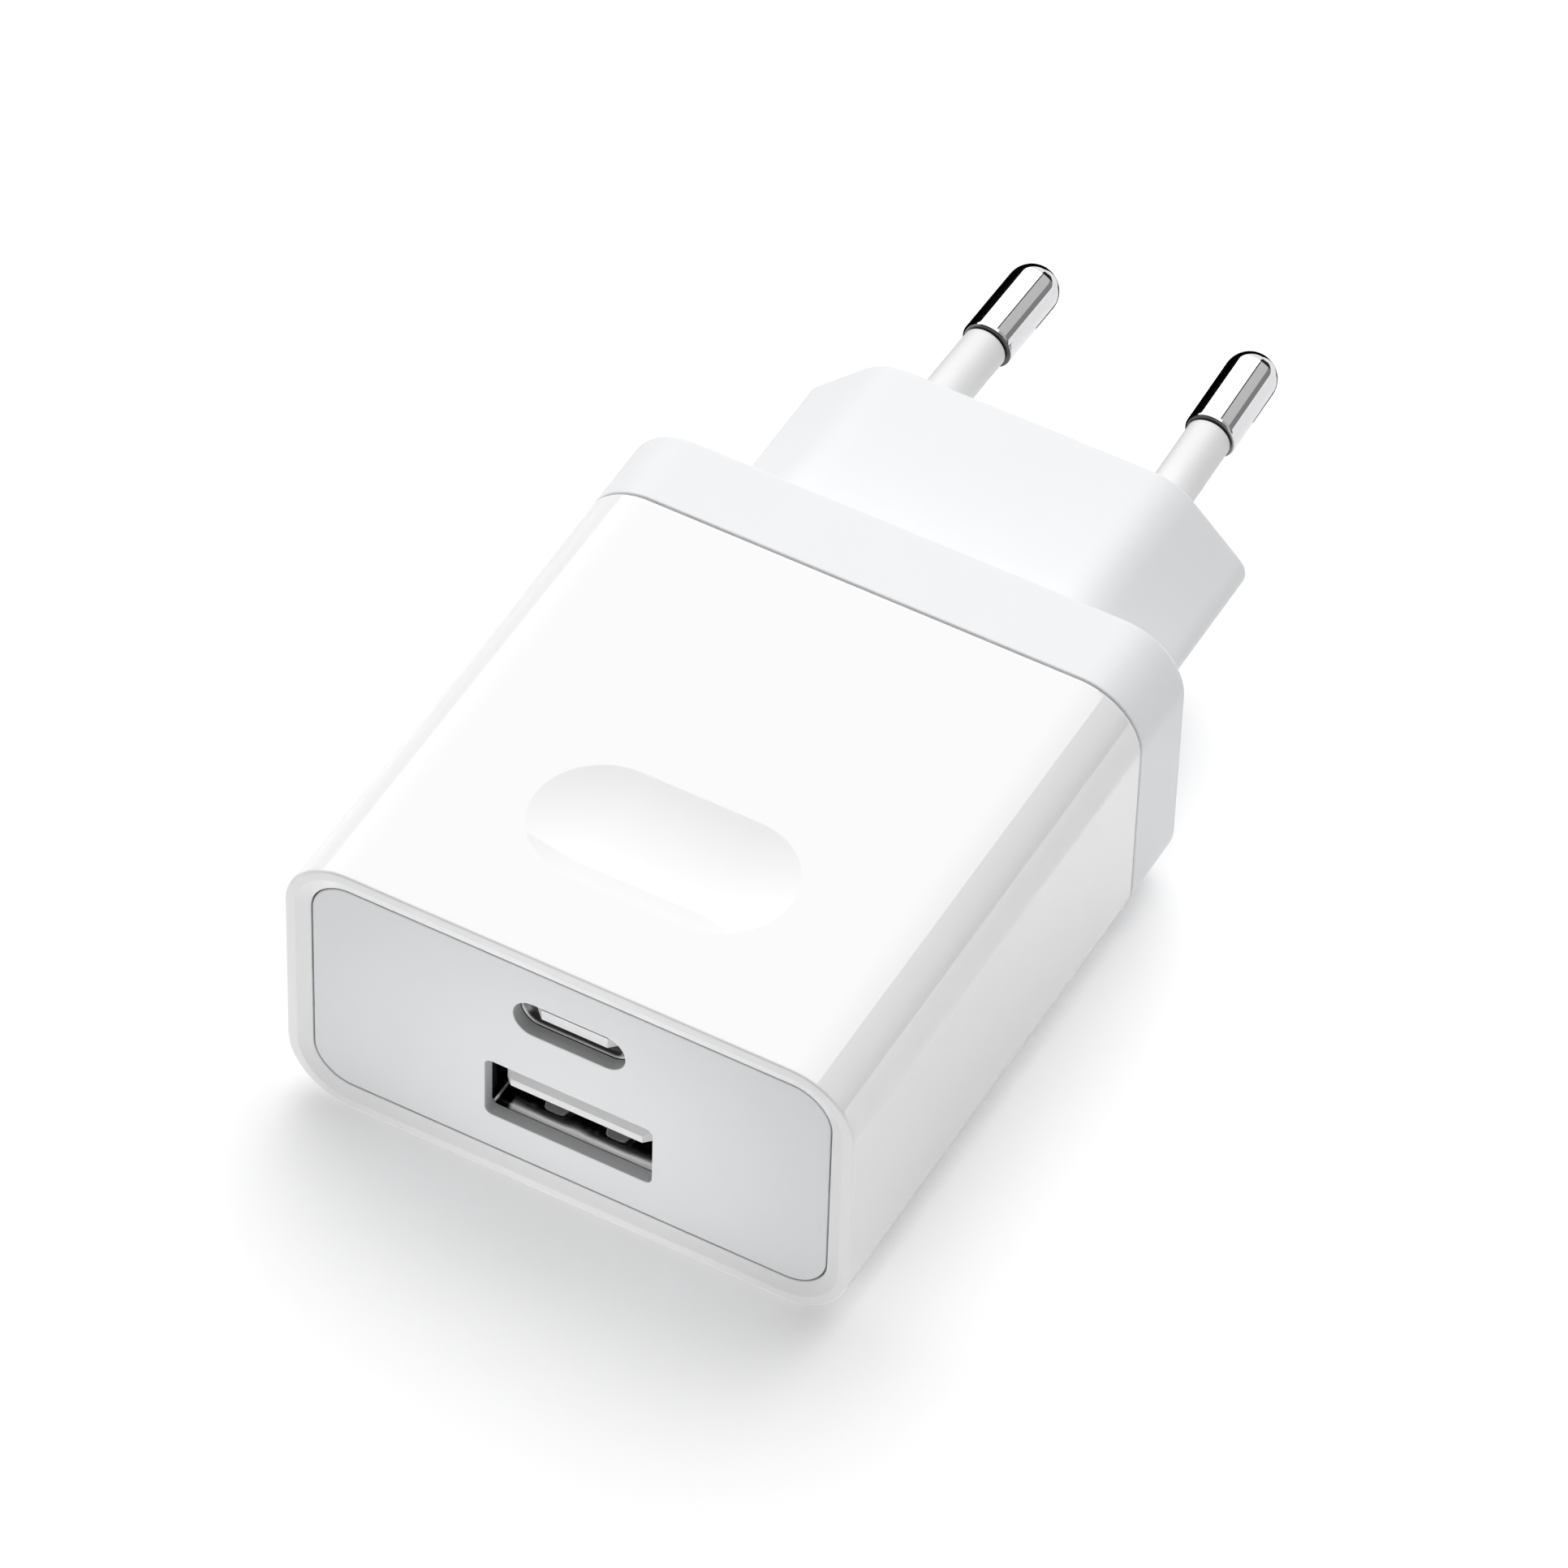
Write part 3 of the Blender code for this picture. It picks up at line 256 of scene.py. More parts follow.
def softened(points, radii):
    """A profile of straight runs whose corners are arcs of the given radii.

    A long run gets one more point close to each end, so that the shading of a flat side stays
    flat up to its round edges. The run that would close the profile gets none.
    """
    rows = rounded_outline(points, radii, EDGE_STEPS)[0]
    run = np.roll(rows, -1, axis=0) - rows
    length = np.linalg.norm(run, axis=1)
    share = (GUARD / length)[:, None]
    long = (length > LONG_RUN) & (np.arange(len(rows)) < len(rows) - 1)
    kept = np.stack([np.ones_like(long), long, long], axis=1)
    return np.stack([rows, rows + share * run, rows + (1 - share) * run], axis=1)[kept]


def rectangle(half_width, half_height, middle=0.0):
    """The four corners of an upright rectangle, counter-clockwise."""
    x, low, high = half_width, middle - half_height, middle + half_height
    return [(x, high), (-x, high), (-x, low), (x, low)]


def carried(outline, outward, profile):
    """A profile carried round an outline.

    At each profile point the outline moves inward along its own directions by the profile's
    inset, and sits at the profile's depth.
    """
    inset = profile[:, 0, None, None]
    flat = outline[None] - inset * outward[None]
    return place(flat[..., 0], profile[:, 1, None], flat[..., 1])


def carried_back(outline, outward, depths):
    """An outline carried straight back through these depths."""
    return carried(outline, outward, np.stack([np.zeros_like(depths), depths], axis=1))


def turned(origin, axis, profile):
    """A profile of (along, radius) turned about an axis that lies level.

    A point is the origin, plus the axis times the distance along it, plus the radius times a
    spoke that goes round from the level cross direction to straight up.
    """
    axis = np.array(axis) / np.linalg.norm(axis)
    cross = np.array([axis[1], -axis[0], 0.0])
    up = np.array([0.0, 0.0, 1.0])
    spoke = np.cos(TURN)[:, None] * cross + np.sin(TURN)[:, None] * up
    along, radius = profile[:, 0, None, None], profile[:, 1, None, None]
    points = np.array(origin) + along * axis + radius * spoke[None]
    return place(points[..., 0], points[..., 1], points[..., 2])


def skin(points, round_rows=False, round_columns=True, gone=None):
    """Vertices and quads of a grid of points, closed round its columns or rows.

    A cell is left out where all four of its corners are marked as gone.
    """
    index = np.arange(points.shape[0] * points.shape[1]).reshape(points.shape[:2])
    if round_rows:
        index = np.concatenate([index, index[:1]], axis=0)
    if round_columns:
        index = np.concatenate([index, index[:, :1]], axis=1)
    cells = np.stack([index[:-1, :-1], index[:-1, 1:], index[1:, 1:], index[1:, :-1]], axis=-1)
    cells = cells.reshape(-1, 4)
    if gone is not None:
        cells = cells[~gone.reshape(-1)[cells].all(axis=1)]
    return points.reshape(-1, 3), cells


def make_mesh(name, skins, flat_depths=()):
    """One mesh from several skins: seams and poles merged, open ends at a depth filled flat."""
    starts = np.cumsum([0] + [len(points) for points, _ in skins[:-1]])
    points = np.concatenate([points for points, _ in skins])
    cells = np.concatenate([quads + start for (_, quads), start in zip(skins, starts)])
    mesh = bpy.data.meshes.new(name)
    mesh.from_pydata(points, [], cells.tolist())
    work = bmesh.new()
    work.from_mesh(mesh)
    bmesh.ops.remove_doubles(work, verts=work.verts, dist=MERGE * MM)
    loose = [vertex for vertex in work.verts if not vertex.link_faces]
    bmesh.ops.delete(work, geom=loose, context="VERTS")
    for depth in flat_depths:
        level = (depth + LIP) * MM
        rim = [edge for edge in work.edges if edge.is_boundary
               and max(abs(v.co.y - level) for v in edge.verts) < IN_PLANE * MM]
        bmesh.ops.triangle_fill(work, use_beauty=True, edges=rim)
    bmesh.ops.recalc_face_normals(work, faces=work.faces)
    work.to_mesh(mesh)
    work.free()
    mesh.shade_smooth()
    mesh.set_sharp_from_angle(angle=CREASE_ANGLE)
    return mesh


def put_in_scene(name, data):
    """A new object of the scene that holds this data."""
    thing = bpy.data.objects.new(name, data)
    bpy.context.scene.collection.objects.link(thing)
    return thing


def seat(name, mesh, node, slot, body="charger", sheet=0.0, side=0.0, finish=None):
    """Puts a finished mesh in the scene in place of a frame node, riding on that node's body.

    A sheet is a wall's thickness, grown outward (1), inward (-1) or both ways (0) from the mesh.
    The finish is the slot's own unless another is named.
    """
    piece = put_in_scene(name, mesh)
    mesh.materials.append(FINISHES[finish or slot])
    if sheet:
        wall = piece.modifiers.new("wall", "SOLIDIFY")
        wall.thickness = sheet * MM
        wall.offset = side
        wall.use_even_offset = True
    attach(piece, body)
    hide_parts(node)


# Where the Mix node has its sockets for colours
MIX_FIRST = 6
MIX_SECOND = 7
MIX_RESULT = 2


class Wire:
    """One socket in a material or world. Arithmetic on wires adds Math nodes."""

    def __init__(self, tree, socket):
        self.tree = tree
        self.socket = socket

    def node(self, kind, settings, inputs, output=0):
        """Adds a node of a type, with its settings set first, then its sockets' values or wires."""
        made = self.tree.nodes.new("ShaderNode" + kind)
        for name, value in settings.items():
            setattr(made, name, value)
        for key, value in inputs.items():
            if isinstance(value, Wire):
                self.tree.links.new(value.socket, made.inputs[key])
            else:
                made.inputs[key].default_value = value
        return Wire(self.tree, made.outputs[output])

    def maths(self, operation, *values):
        """A Math node on these values."""
        return self.node("Math", {"operation": operation}, dict(enumerate(values)))

    def __add__(self, other):
        return self.maths("ADD", self, other)

    def __sub__(self, other):
        return self.maths("SUBTRACT", self, other)

    def __rsub__(self, other):
        return self.maths("SUBTRACT", other, self)

    def __mul__(self, other):
        return self.maths("MULTIPLY", self, other)

    __radd__ = __add__
    __rmul__ = __mul__

    def waves(self, pitch):
        """A sine between -1 and 1 that comes round once in each pitch."""
        angle = self * (2 * math.pi / pitch)
        return self.maths("SINE", angle)

    def above(self, start, end):
        """Climbs smoothly from 0 at the start to 1 at the end."""
        settings = {"interpolation_type": "SMOOTHSTEP"}
        return self.node("MapRange", settings, {"Value": self, "From Min": start, "From Max": end})

    def beyond(self, level, band):
        """Climbs smoothly from 0 to 1 over a band, whose two ends are distances from a level."""
        return self.above(level + band[0], level + band[1])

    def between(self, low, high):
        """From low to high as this goes from 0 to 1."""
        return low + (high - low) * self

    def stretched(self, across, depth, height):
        """A place measured in grains of these lengths."""
        grains = (1 / across, 1 / depth, 1 / height)
        return self.node("VectorMath", {"operation": "MULTIPLY"}, {0: self, 1: grains})

    def axis(self, number):
        """One of a place's three parts."""
        return self.node("SeparateXYZ", {}, {0: self}, number)

    def grain(self, size=1.0, detail=2.0):
        """Noise between 0 and 1 whose grains are about this large."""
        return self.node("TexNoise", {}, {"Vector": self, "Scale": 1 / size, "Detail": detail})

    def cells(self, size):
        """Distance to the nearest edge of random cells of about this size."""
        settings = {"feature": "DISTANCE_TO_EDGE"}
        return self.node("TexVoronoi", settings, {"Vector": self, "Scale": 1 / size})

    def blend(self, first, second):
        """From the first colour to the second as this goes from 0 to 1."""
        inputs = {0: self, MIX_FIRST: rgba(first), MIX_SECOND: rgba(second)}
        return self.node("Mix", {"data_type": "RGBA"}, inputs, MIX_RESULT)

    def relief(self, height):
        """A surface direction bent by this wire taken as a height, in millimetres."""
        return self.node("Bump", {}, {"Height": self, "Distance": height * MM, "Strength": 1.0})


def rgba(colour):
    """A colour ready for a socket; a wire passes through."""
    return colour if isinstance(colour, Wire) else (*colour, 1.0)


def grey(level):
    """A colour whose three parts are alike."""
    return (level, level, level)


def shade(colour, factor):
    """A colour made lighter or darker."""
    return tuple(min(part * factor, 1.0) for part in colour)


# Finishes by their names, filled by start_finish
FINISHES = {}

# Colours of the pieces that show
CASING_WHITE = grey(0.90)
COVER_WHITE = (0.84, 0.847, 0.858)
SLEEVE_WHITE = grey(0.83)
INSULATOR_WHITE = grey(0.86)
PANEL_GREY = (0.77, 0.785, 0.80)
# Painted shade: the slot walls of the panel, darker than its face, darkest in the upper slot
LOWER_SLOT_WALL_SHADE = (0.70, 0.705, 0.71)
UPPER_SLOT_WALL_SHADE = (0.56, 0.565, 0.57)
PLATING = (0.80, 0.80, 0.81)
PLATING_DIM = (0.78, 0.78, 0.79)
# Painted shade and painted reflection: the dark ring at each pin's shoulder
SHOULDER_PAINTED_SHADE = (0.10, 0.10, 0.105)
# Painted shade: the port shells' insides, darkened past the mouth
A_INSIDE_PAINTED_SHADE = grey(0.01)
C_INSIDE_PAINTED_SHADE = grey(0.22)
SPRING_GREY = (0.40, 0.40, 0.405)

# Colours of the pieces inside, a darker and a lighter one where two are given
CONTACT_GOLD = (0.80, 0.72, 0.56)
STRAP_BRASS = (0.76, 0.55, 0.24)
BOBBIN_CREAM = (0.70, 0.69, 0.65)
CHIP_BLACK = (0.018, 0.018, 0.02)
DISC_BLUE = (0.05, 0.16, 0.42)
MASK_GREENS = ((0.012, 0.10, 0.035), (0.018, 0.14, 0.05))
TRACK_GREEN = (0.06, 0.26, 0.10)
WIRE_COPPERS = ((0.16, 0.045, 0.015), (0.72, 0.28, 0.10))
TAPE_YELLOWS = ((0.66, 0.42, 0.035), (0.84, 0.60, 0.07))
CAN_BLUES = ((0.012, 0.014, 0.03), (0.02, 0.024, 0.05))
CAN_STRIPE_GREY = (0.5, 0.5, 0.52)
CAN_ALUMINIUM = (0.78, 0.79, 0.80)
FERRITE_GREYS = ((0.022, 0.022, 0.025), (0.04, 0.04, 0.044))
FERRITE_SPECK_GREY = (0.10, 0.10, 0.105)
FUSE_GREENS = ((0.05, 0.20, 0.12), (0.07, 0.26, 0.16))
FUSE_RING_GOLD = (0.42, 0.30, 0.07)

# Grains of the plastics and metals, and gloss as shares of a finish's own roughness
MOULD_MOTTLE = 0.012
MOULD_SLOW_GRAIN = 7.0
MOULD_GLOSS = (0.88, 1.12)
METAL_MOTTLE = 0.1
METAL_SLOW_GRAIN = 2.5
METAL_GLOSS = (0.7, 1.3)
SHELL_GLOSS = (0.8, 1.2)
FINE_DETAIL = 3.0
PIN_RINGS = (6.0, 0.12, 6.0)
PIN_ROUGHNESS = 0.05
SHELL_LINES = (0.15, 3.0, 0.15)
MOUTH_ROUGHNESS = 0.48
INSIDE_ROUGHNESS = 0.20

# Bands over which painted shade changes, as distances from an edge; the fold's two bands keep a painted
# highlight
SLOT_WALL_SHADE_BAND = (0.02, 0.09)
UPPER_SLOT_SHADE_BAND = (0.0, 1.0)
SHOULDER_SHADE_BAND = (0.02, 0.14)
A_INSIDE_SHADE_BAND = (0.13, 1.3)
C_INSIDE_SHADE_BAND = (0.022, 0.22)
LEFT_WALL_SHADE_BAND = (-1.4, -1.0)
FOLD_HIGHLIGHT_SIDE_BAND = (-0.2, -0.12)
FOLD_HIGHLIGHT_RISE_BAND = (0.12, 0.2)

# How often the windings, tape, can and fuse repeat their marks, and how far tape shows its own
WIRE_PITCH = 0.32
TAPE_PITCH = 1.3
TAPE_BAND_SHARE = 0.3
CAN_STRIPE_PITCH = 2.5 * math.pi
FUSE_RING_PITCH = 1.7


def socket_name(name):
    """A socket's name from its words in lower case."""
    return name.replace("_", " ").title().replace("Ior", "IOR")


def start_finish(slot, **sockets):
    """A new finish: its shader and the place of a surface point on the piece, in millimetres."""
    material = bpy.data.materials.new(slot + "_finish")
    material.use_nodes = True
    tree = material.node_tree
    shader = tree.nodes["Principled BSDF"]
    for name, value in sockets.items():
        shader.inputs[socket_name(name)].default_value = value
    FINISHES[slot] = material
    coordinates = tree.nodes.new("ShaderNodeTexCoord")
    metres = Wire(tree, coordinates.outputs["Object"])
    spot = metres.node("VectorMath", {"operation": "SCALE"}, {0: metres, "Scale": 1 / MM})
    return shader, spot


def feed(shader, **wires):
    """Links wires to the shader's sockets by name."""
    for name, wire in wires.items():
        wire.tree.links.new(wire.socket, shader.inputs[socket_name(name)])


def moulded(slot, colour, roughness, grain, height, mottle=MOULD_MOTTLE, **sockets):
    """Moulded plastic: a slow mottle in tone and gloss, and the fine grain of the mould in relief."""
    shader, spot = start_finish(slot, **sockets)
    slow = spot.grain(MOULD_SLOW_GRAIN)
    fine = spot.grain(grain, FINE_DETAIL)
    tone = slow.blend(shade(colour, 1 - mottle), colour)
    feed(shader, base_color=tone, roughness=roughness * slow.between(*MOULD_GLOSS),
         normal=fine.relief(height))
    return shader, spot, tone


def drawn_metal(slot, colour, roughness, lines, height=0.0006, metallic=1.0):
    """Bare or plated metal with fine lines along the way it was drawn, and a faint change of tone."""
    shader, spot = start_finish(slot, metallic=metallic)
    drawn = spot.stretched(*lines).grain(detail=FINE_DETAIL)
    slow = spot.grain(METAL_SLOW_GRAIN)
    feed(shader, base_color=slow.blend(shade(colour, 1 - METAL_MOTTLE), colour),
         roughness=roughness * drawn.between(*METAL_GLOSS), normal=drawn.relief(height))


def mix_panel_finish():
    """The matte panel, with painted shade on its cut slots' walls: darker than its face, most in the
    upper slot.
    """
    shader, spot, tone = moulded("panel", PANEL_GREY, roughness=0.55, grain=0.12, height=0.0022)
    # Painted shade on the slot walls, darker in the upper slot
    inward = spot.axis(DEPTH).beyond(LIP + PANEL_FACE, SLOT_WALL_SHADE_BAND)
    upper = spot.axis(HEIGHT).beyond(MIDDLE, UPPER_SLOT_SHADE_BAND)
    walls = upper.blend(LOWER_SLOT_WALL_SHADE, UPPER_SLOT_WALL_SHADE)
    feed(shader, base_color=inward.blend(tone, walls))


def mix_pin_finish():
    """Bright plating over faint turned rings, with painted shade and painted reflection as a dark ring
    at the shoulder where the sleeve ends.
    """
    shader, spot = start_finish("pin", metallic=1.0)
    rings = spot.stretched(*PIN_RINGS).grain(detail=FINE_DETAIL)
    plating = spot.grain(METAL_SLOW_GRAIN).blend(PLATING_DIM, PLATING)
    # Painted shade and painted reflection: a dark ring at the shoulder
    bright = spot.axis(DEPTH).beyond(LIP + BOSS_FACE + PIN_SHOULDER, SHOULDER_SHADE_BAND)
    feed(shader, base_color=bright.blend(SHOULDER_PAINTED_SHADE, plating),
         roughness=PIN_ROUGHNESS * rings.between(*METAL_GLOSS), normal=rings.relief(height=0.00015))


def mix_shell_finishes():
    """Drawn plated sheet, bright at a port's mouth and painted dark inside, a painted shade.

    The larger shell has painted shade at the left of its mouth too, and a painted highlight along the
    fold beside its floor.
    """
    for slot, mouth, band, inside in (("port_shell", A_SHELL_LOW[DEPTH], A_INSIDE_SHADE_BAND, A_INSIDE_PAINTED_SHADE),
                                      ("small_shell", C_SHELL_LOW[DEPTH], C_INSIDE_SHADE_BAND, C_INSIDE_PAINTED_SHADE)):
        shader, spot = start_finish(slot, metallic=1.0)
        lines = spot.stretched(*SHELL_LINES).grain(detail=FINE_DETAIL)
        # Painted shade: darker going in from the mouth
        dark = spot.axis(DEPTH).beyond(LIP + mouth, band)
        if slot == "port_shell":
            # Painted shade along the left wall
            left = 0 - spot.axis(ACROSS)
            dark = dark.maths("MAXIMUM", dark, left.beyond(A_HALF_WIDTH, LEFT_WALL_SHADE_BAND))
            # Painted highlight: the fold beside the floor is kept bright
            low = 1 - spot.axis(HEIGHT).beyond(MIDDLE + A_FLOOR, FOLD_HIGHLIGHT_RISE_BAND)
            dark = dark * (1 - low * left.beyond(A_HALF_WIDTH, FOLD_HIGHLIGHT_SIDE_BAND))
        tone = dark.blend(PLATING, inside)
        gloss = dark.between(MOUTH_ROUGHNESS, INSIDE_ROUGHNESS) * lines.between(*SHELL_GLOSS)
        feed(shader, base_color=tone, roughness=gloss, normal=lines.relief(height=0.0008))


def mix_board_finish():
    """Green solder mask over copper tracks, which show as paler lines between random cells."""
    shader, spot = start_finish("board")
    tracks = 1 - spot.cells(size=2.4).above(start=0.05, end=0.09)
    slow = spot.grain(size=1.5)
    mask = slow.blend(*MASK_GREENS)
    feed(shader, base_color=tracks.blend(mask, TRACK_GREEN),
         roughness=slow.between(low=0.32, high=0.52), normal=tracks.relief(height=0.02))


def mix_winding_finish():
    """Enamelled copper wire: even turns up the bobbin, each a rounded ridge with a dark valley."""
    shader, spot = start_finish("winding", metallic=0.85)
    turns = 0.5 + 0.5 * spot.axis(HEIGHT).waves(WIRE_PITCH)
    slow = spot.grain(size=1.2)
    feed(shader, base_color=turns.blend(*WIRE_COPPERS),
         roughness=slow.between(low=0.25, high=0.40), normal=turns.relief(height=0.06))


def mix_tape_finish():
    """Thin yellow tape whose layers show as faint bands with a wrinkled surface."""
    shader, spot = start_finish("tape")
    wrinkle = spot.stretched(across=3.0, depth=0.6, height=3.0).grain()
    bands = 0.5 + 0.5 * spot.axis(DEPTH).waves(TAPE_PITCH)
    mixed = TAPE_BAND_SHARE * bands + (1 - TAPE_BAND_SHARE) * wrinkle
    tone = mixed.blend(*TAPE_YELLOWS)
    feed(shader, base_color=tone, roughness=wrinkle.between(low=0.25, high=0.45),
         normal=wrinkle.relief(height=0.02))


def mix_can_finishes():
    """Capacitor cans: a dark shrunk sleeve with a pale stripe, and bare spun aluminium."""
    shader, spot = start_finish("can_sleeve")
    ripple = spot.stretched(across=1.0, depth=1.0, height=4.0).grain(size=0.8)
    stripe = spot.axis(ACROSS).waves(CAN_STRIPE_PITCH).above(start=0.93, end=0.97)
    tone = stripe.blend(ripple.blend(*CAN_BLUES), CAN_STRIPE_GREY)
    feed(shader, base_color=tone, roughness=ripple.between(low=0.30, high=0.45),
         normal=ripple.relief(height=0.02))
    drawn_metal("can_metal", CAN_ALUMINIUM, roughness=0.28, lines=(4.0, 4.0, 0.15))


def mix_ferrite_finish():
    """Sintered ferrite: dull dark grey with fine pale specks and small pits."""
    shader, spot = start_finish("ferrite")
    specks = spot.grain(size=0.12, detail=FINE_DETAIL)
    slow = spot.grain(size=1.6)
    pale = specks.above(start=0.56, end=0.70)
    tone = pale.blend(slow.blend(*FERRITE_GREYS), FERRITE_SPECK_GREY)
    feed(shader, base_color=tone, roughness=specks.between(low=0.50, high=0.70),
         normal=specks.relief(height=0.01))


def mix_fuse_finish():
    """A green lacquered resistor body with golden rings along it."""
    shader, spot = start_finish("fuse")
    rings = spot.axis(ACROSS).waves(FUSE_RING_PITCH).above(start=0.55, end=0.65)
    slow = spot.grain(size=0.8)
    tone = rings.blend(slow.blend(*FUSE_GREENS), FUSE_RING_GOLD)
    feed(shader, base_color=tone, roughness=slow.between(low=0.28, high=0.48),
         normal=slow.relief(height=0.02))


def mix_finishes():
    """Every finish of the charger, by the name of its slot in the frame's record."""
    moulded("casing", CASING_WHITE, roughness=0.04, grain=0.5, height=0.0004,
            ior=1.62, specular_ior_level=1.0)
    moulded("cover", COVER_WHITE, roughness=0.34, grain=0.25, height=0.0010)
    moulded("pin_sleeve", SLEEVE_WHITE, roughness=0.40, grain=0.2, height=0.0012)
    moulded("port_insulator", INSULATOR_WHITE, roughness=0.38, grain=0.15, height=0.0010)
    moulded("bobbin", BOBBIN_CREAM, roughness=0.45, grain=0.2, height=0.004, mottle=0.06)
    moulded("chip", CHIP_BLACK, roughness=0.5, grain=0.1, height=0.006, mottle=0.3)
    moulded("disc", DISC_BLUE, roughness=0.35, grain=0.6, height=0.02, mottle=0.15)
    drawn_metal("strap", STRAP_BRASS, roughness=0.30, lines=(0.1, 3.0, 0.1))
    drawn_metal("spring", SPRING_GREY, roughness=0.60, lines=SHELL_LINES, height=0.0008, metallic=0.3)
    drawn_metal("contact", CONTACT_GOLD, roughness=0.22, lines=(0.1, 2.0, 0.1))
    mix_panel_finish()
    mix_pin_finish()
    mix_shell_finishes()
    mix_board_finish()
    mix_winding_finish()
    mix_tape_finish()
    mix_can_finishes()
    mix_ferrite_finish()
    mix_fuse_finish()


def casing_outline():
    """The casing's cross-section: an upright rectangle with large round corners."""
    return rounded_outline(rectangle(HALF_WIDTH, HALF_HEIGHT), CORNER_RADIUS, ARC_STEPS, RUN_STEPS)


def recess_window(outline):
    """The columns across and rows deep of the patch on the upper face that holds the thumb recess."""
    top = outline[outline[:, 1] > HALF_HEIGHT - TOUCH, 0]
    top = np.sort(top)
    spare = (len(top) - 1 - RECESS_COLUMNS) // 2
    columns = top[spare:spare + RECESS_COLUMNS + 1]
    reach = RECESS_WIDTH / 2 + RECESS_MARGIN
    rows = np.linspace(RECESS_SETBACK - reach, RECESS_SETBACK + reach, RECESS_ROWS + 1)
    return columns, rows


def thumb_recess(columns, rows):
    """The patch of the upper face with the thumb recess, as rings from its spine to the window's rim.

    Each rim point looks to the nearest point of the recess's spine. Along that line the surface
    is a parabola, deepest on the spine and level at the recess's edge, and flat from there on.
    """
    across = np.concatenate([columns[:-1], np.full(RECESS_ROWS, columns[-1]), columns[:0:-1],
                             np.full(RECESS_ROWS, columns[0])])
    depth = np.concatenate([np.full(RECESS_COLUMNS, rows[0]), rows[:-1],
                            np.full(RECESS_COLUMNS, rows[-1]), rows[:0:-1]])
    radius = RECESS_WIDTH / 2
    spine = np.clip(across, radius - RECESS_LENGTH / 2, RECESS_LENGTH / 2 - radius)
    reach = np.hypot(across - spine, depth - RECESS_SETBACK)
    inside = np.append(np.linspace(0, 1 - RECESS_EDGE / radius, RECESS_RINGS), 1.0) * radius
    rings = np.append(inside, radius + RECESS_EDGE)
    distance = np.concatenate([np.repeat(rings[:, None], len(reach), axis=1), reach[None]])
    sag = RECESS_SAG * np.clip(1 - (distance / radius) ** 2, 0, None)
    share = distance / reach
    return place(spine + share * (across - spine),
                 RECESS_SETBACK + share * (depth - RECESS_SETBACK), HALF_HEIGHT - sag)


def make_casing_tube():
    """The glossy main tube: lip, seat for the panel, bore and rebate, and the recess on top."""
    outline, outward = casing_outline()
    columns, rows = recess_window(outline)
    inner_lip = LIP_LAND + LIP_BEVEL
    rebate = SHELL_LENGTH - REBATE_DEPTH
    wall = [(0.0, depth) for depth in rows[::-1]]
    corners = [(0, SHELL_LENGTH), *wall, (0, 0), (LIP_LAND, 0), (inner_lip, PANEL_FACE),
               (inner_lip, SEAT_DEPTH), (SHELL_WALL, SEAT_DEPTH), (SHELL_WALL, rebate),
               (REBATE_WALL, rebate), (REBATE_WALL, SHELL_LENGTH)]
    radii = [SEAM_EDGE_RADIUS, *[0] * len(wall), LIP_EDGE_RADIUS, LIP_CREASE_RADIUS,
             LIP_CREASE_RADIUS / 2, 0, 0, 0, 0, 0]
    profile = softened(corners, radii)
    points = carried(outline, outward, profile)
    on_top = outline[:, 1] > HALF_HEIGHT - TOUCH
    in_columns = on_top & within(outline[:, 0], columns[0], columns[-1])
    in_rows = (profile[:, 0] < TOUCH) & within(profile[:, 1], rows[0], rows[-1])
    tube = skin(points, round_rows=True, gone=in_rows[:, None] & in_columns[None])
    patch = skin(thumb_recess(columns, rows))
    seat("casing_tube", make_mesh("casing_tube", [tube, patch]), "main_shell", "casing")


def slot_outline(width, height, radius, middle):
    """A port's opening: a rectangle with round corners, about a height."""
    return rounded_outline(rectangle(width / 2, height / 2, middle), radius, ARC_STEPS)


def make_port_panel():
    """The matte panel: a rim profile round its edge and round both slots, flat faces between them."""
    outline, outward = casing_outline()
    rim = softened([(PANEL_INSET + FLAT_START, PANEL_BACK), (PANEL_INSET, PANEL_BACK),
                    (PANEL_INSET, PANEL_FACE), (PANEL_INSET + FLAT_START, PANEL_FACE)],
                   [0, 0, PANEL_EDGE_RADIUS, 0])
    skins = [skin(carried(outline, outward, rim))]
    wall = softened([(-FLAT_START, PANEL_BACK), (0, PANEL_BACK), (0, PANEL_FACE),
                     (-FLAT_START, PANEL_FACE)], [0, 0, SLOT_EDGE_RADIUS, 0])
    slots = [slot_outline(A_WIDTH, A_HEIGHT, A_CORNER_RADIUS, A_MIDDLE),
             slot_outline(C_WIDTH, C_HEIGHT, C_HEIGHT / 2 - END_SPARE, C_MIDDLE)]
    skins += [skin(carried(*slot, wall)) for slot in slots]
    mesh = make_mesh("port_panel", skins, (PANEL_FACE, PANEL_BACK))
    seat("port_panel", mesh, "front_panel", "panel")


def boss_corners():
    """The plug boss's six corners, counter-clockwise from the upper right."""
    side, tip, top = BOSS_FLAT / 2, BOSS_WIDTH / 2, BOSS_HEIGHT / 2
    return [(side, top), (-side, top), (-tip, 0), (-side, -top), (side, -top), (tip, 0)]


def crossed(first, second):
    """The cross products of rows of flat vectors."""
    return first[:, 0] * second[:, 1] - first[:, 1] * second[:, 0]


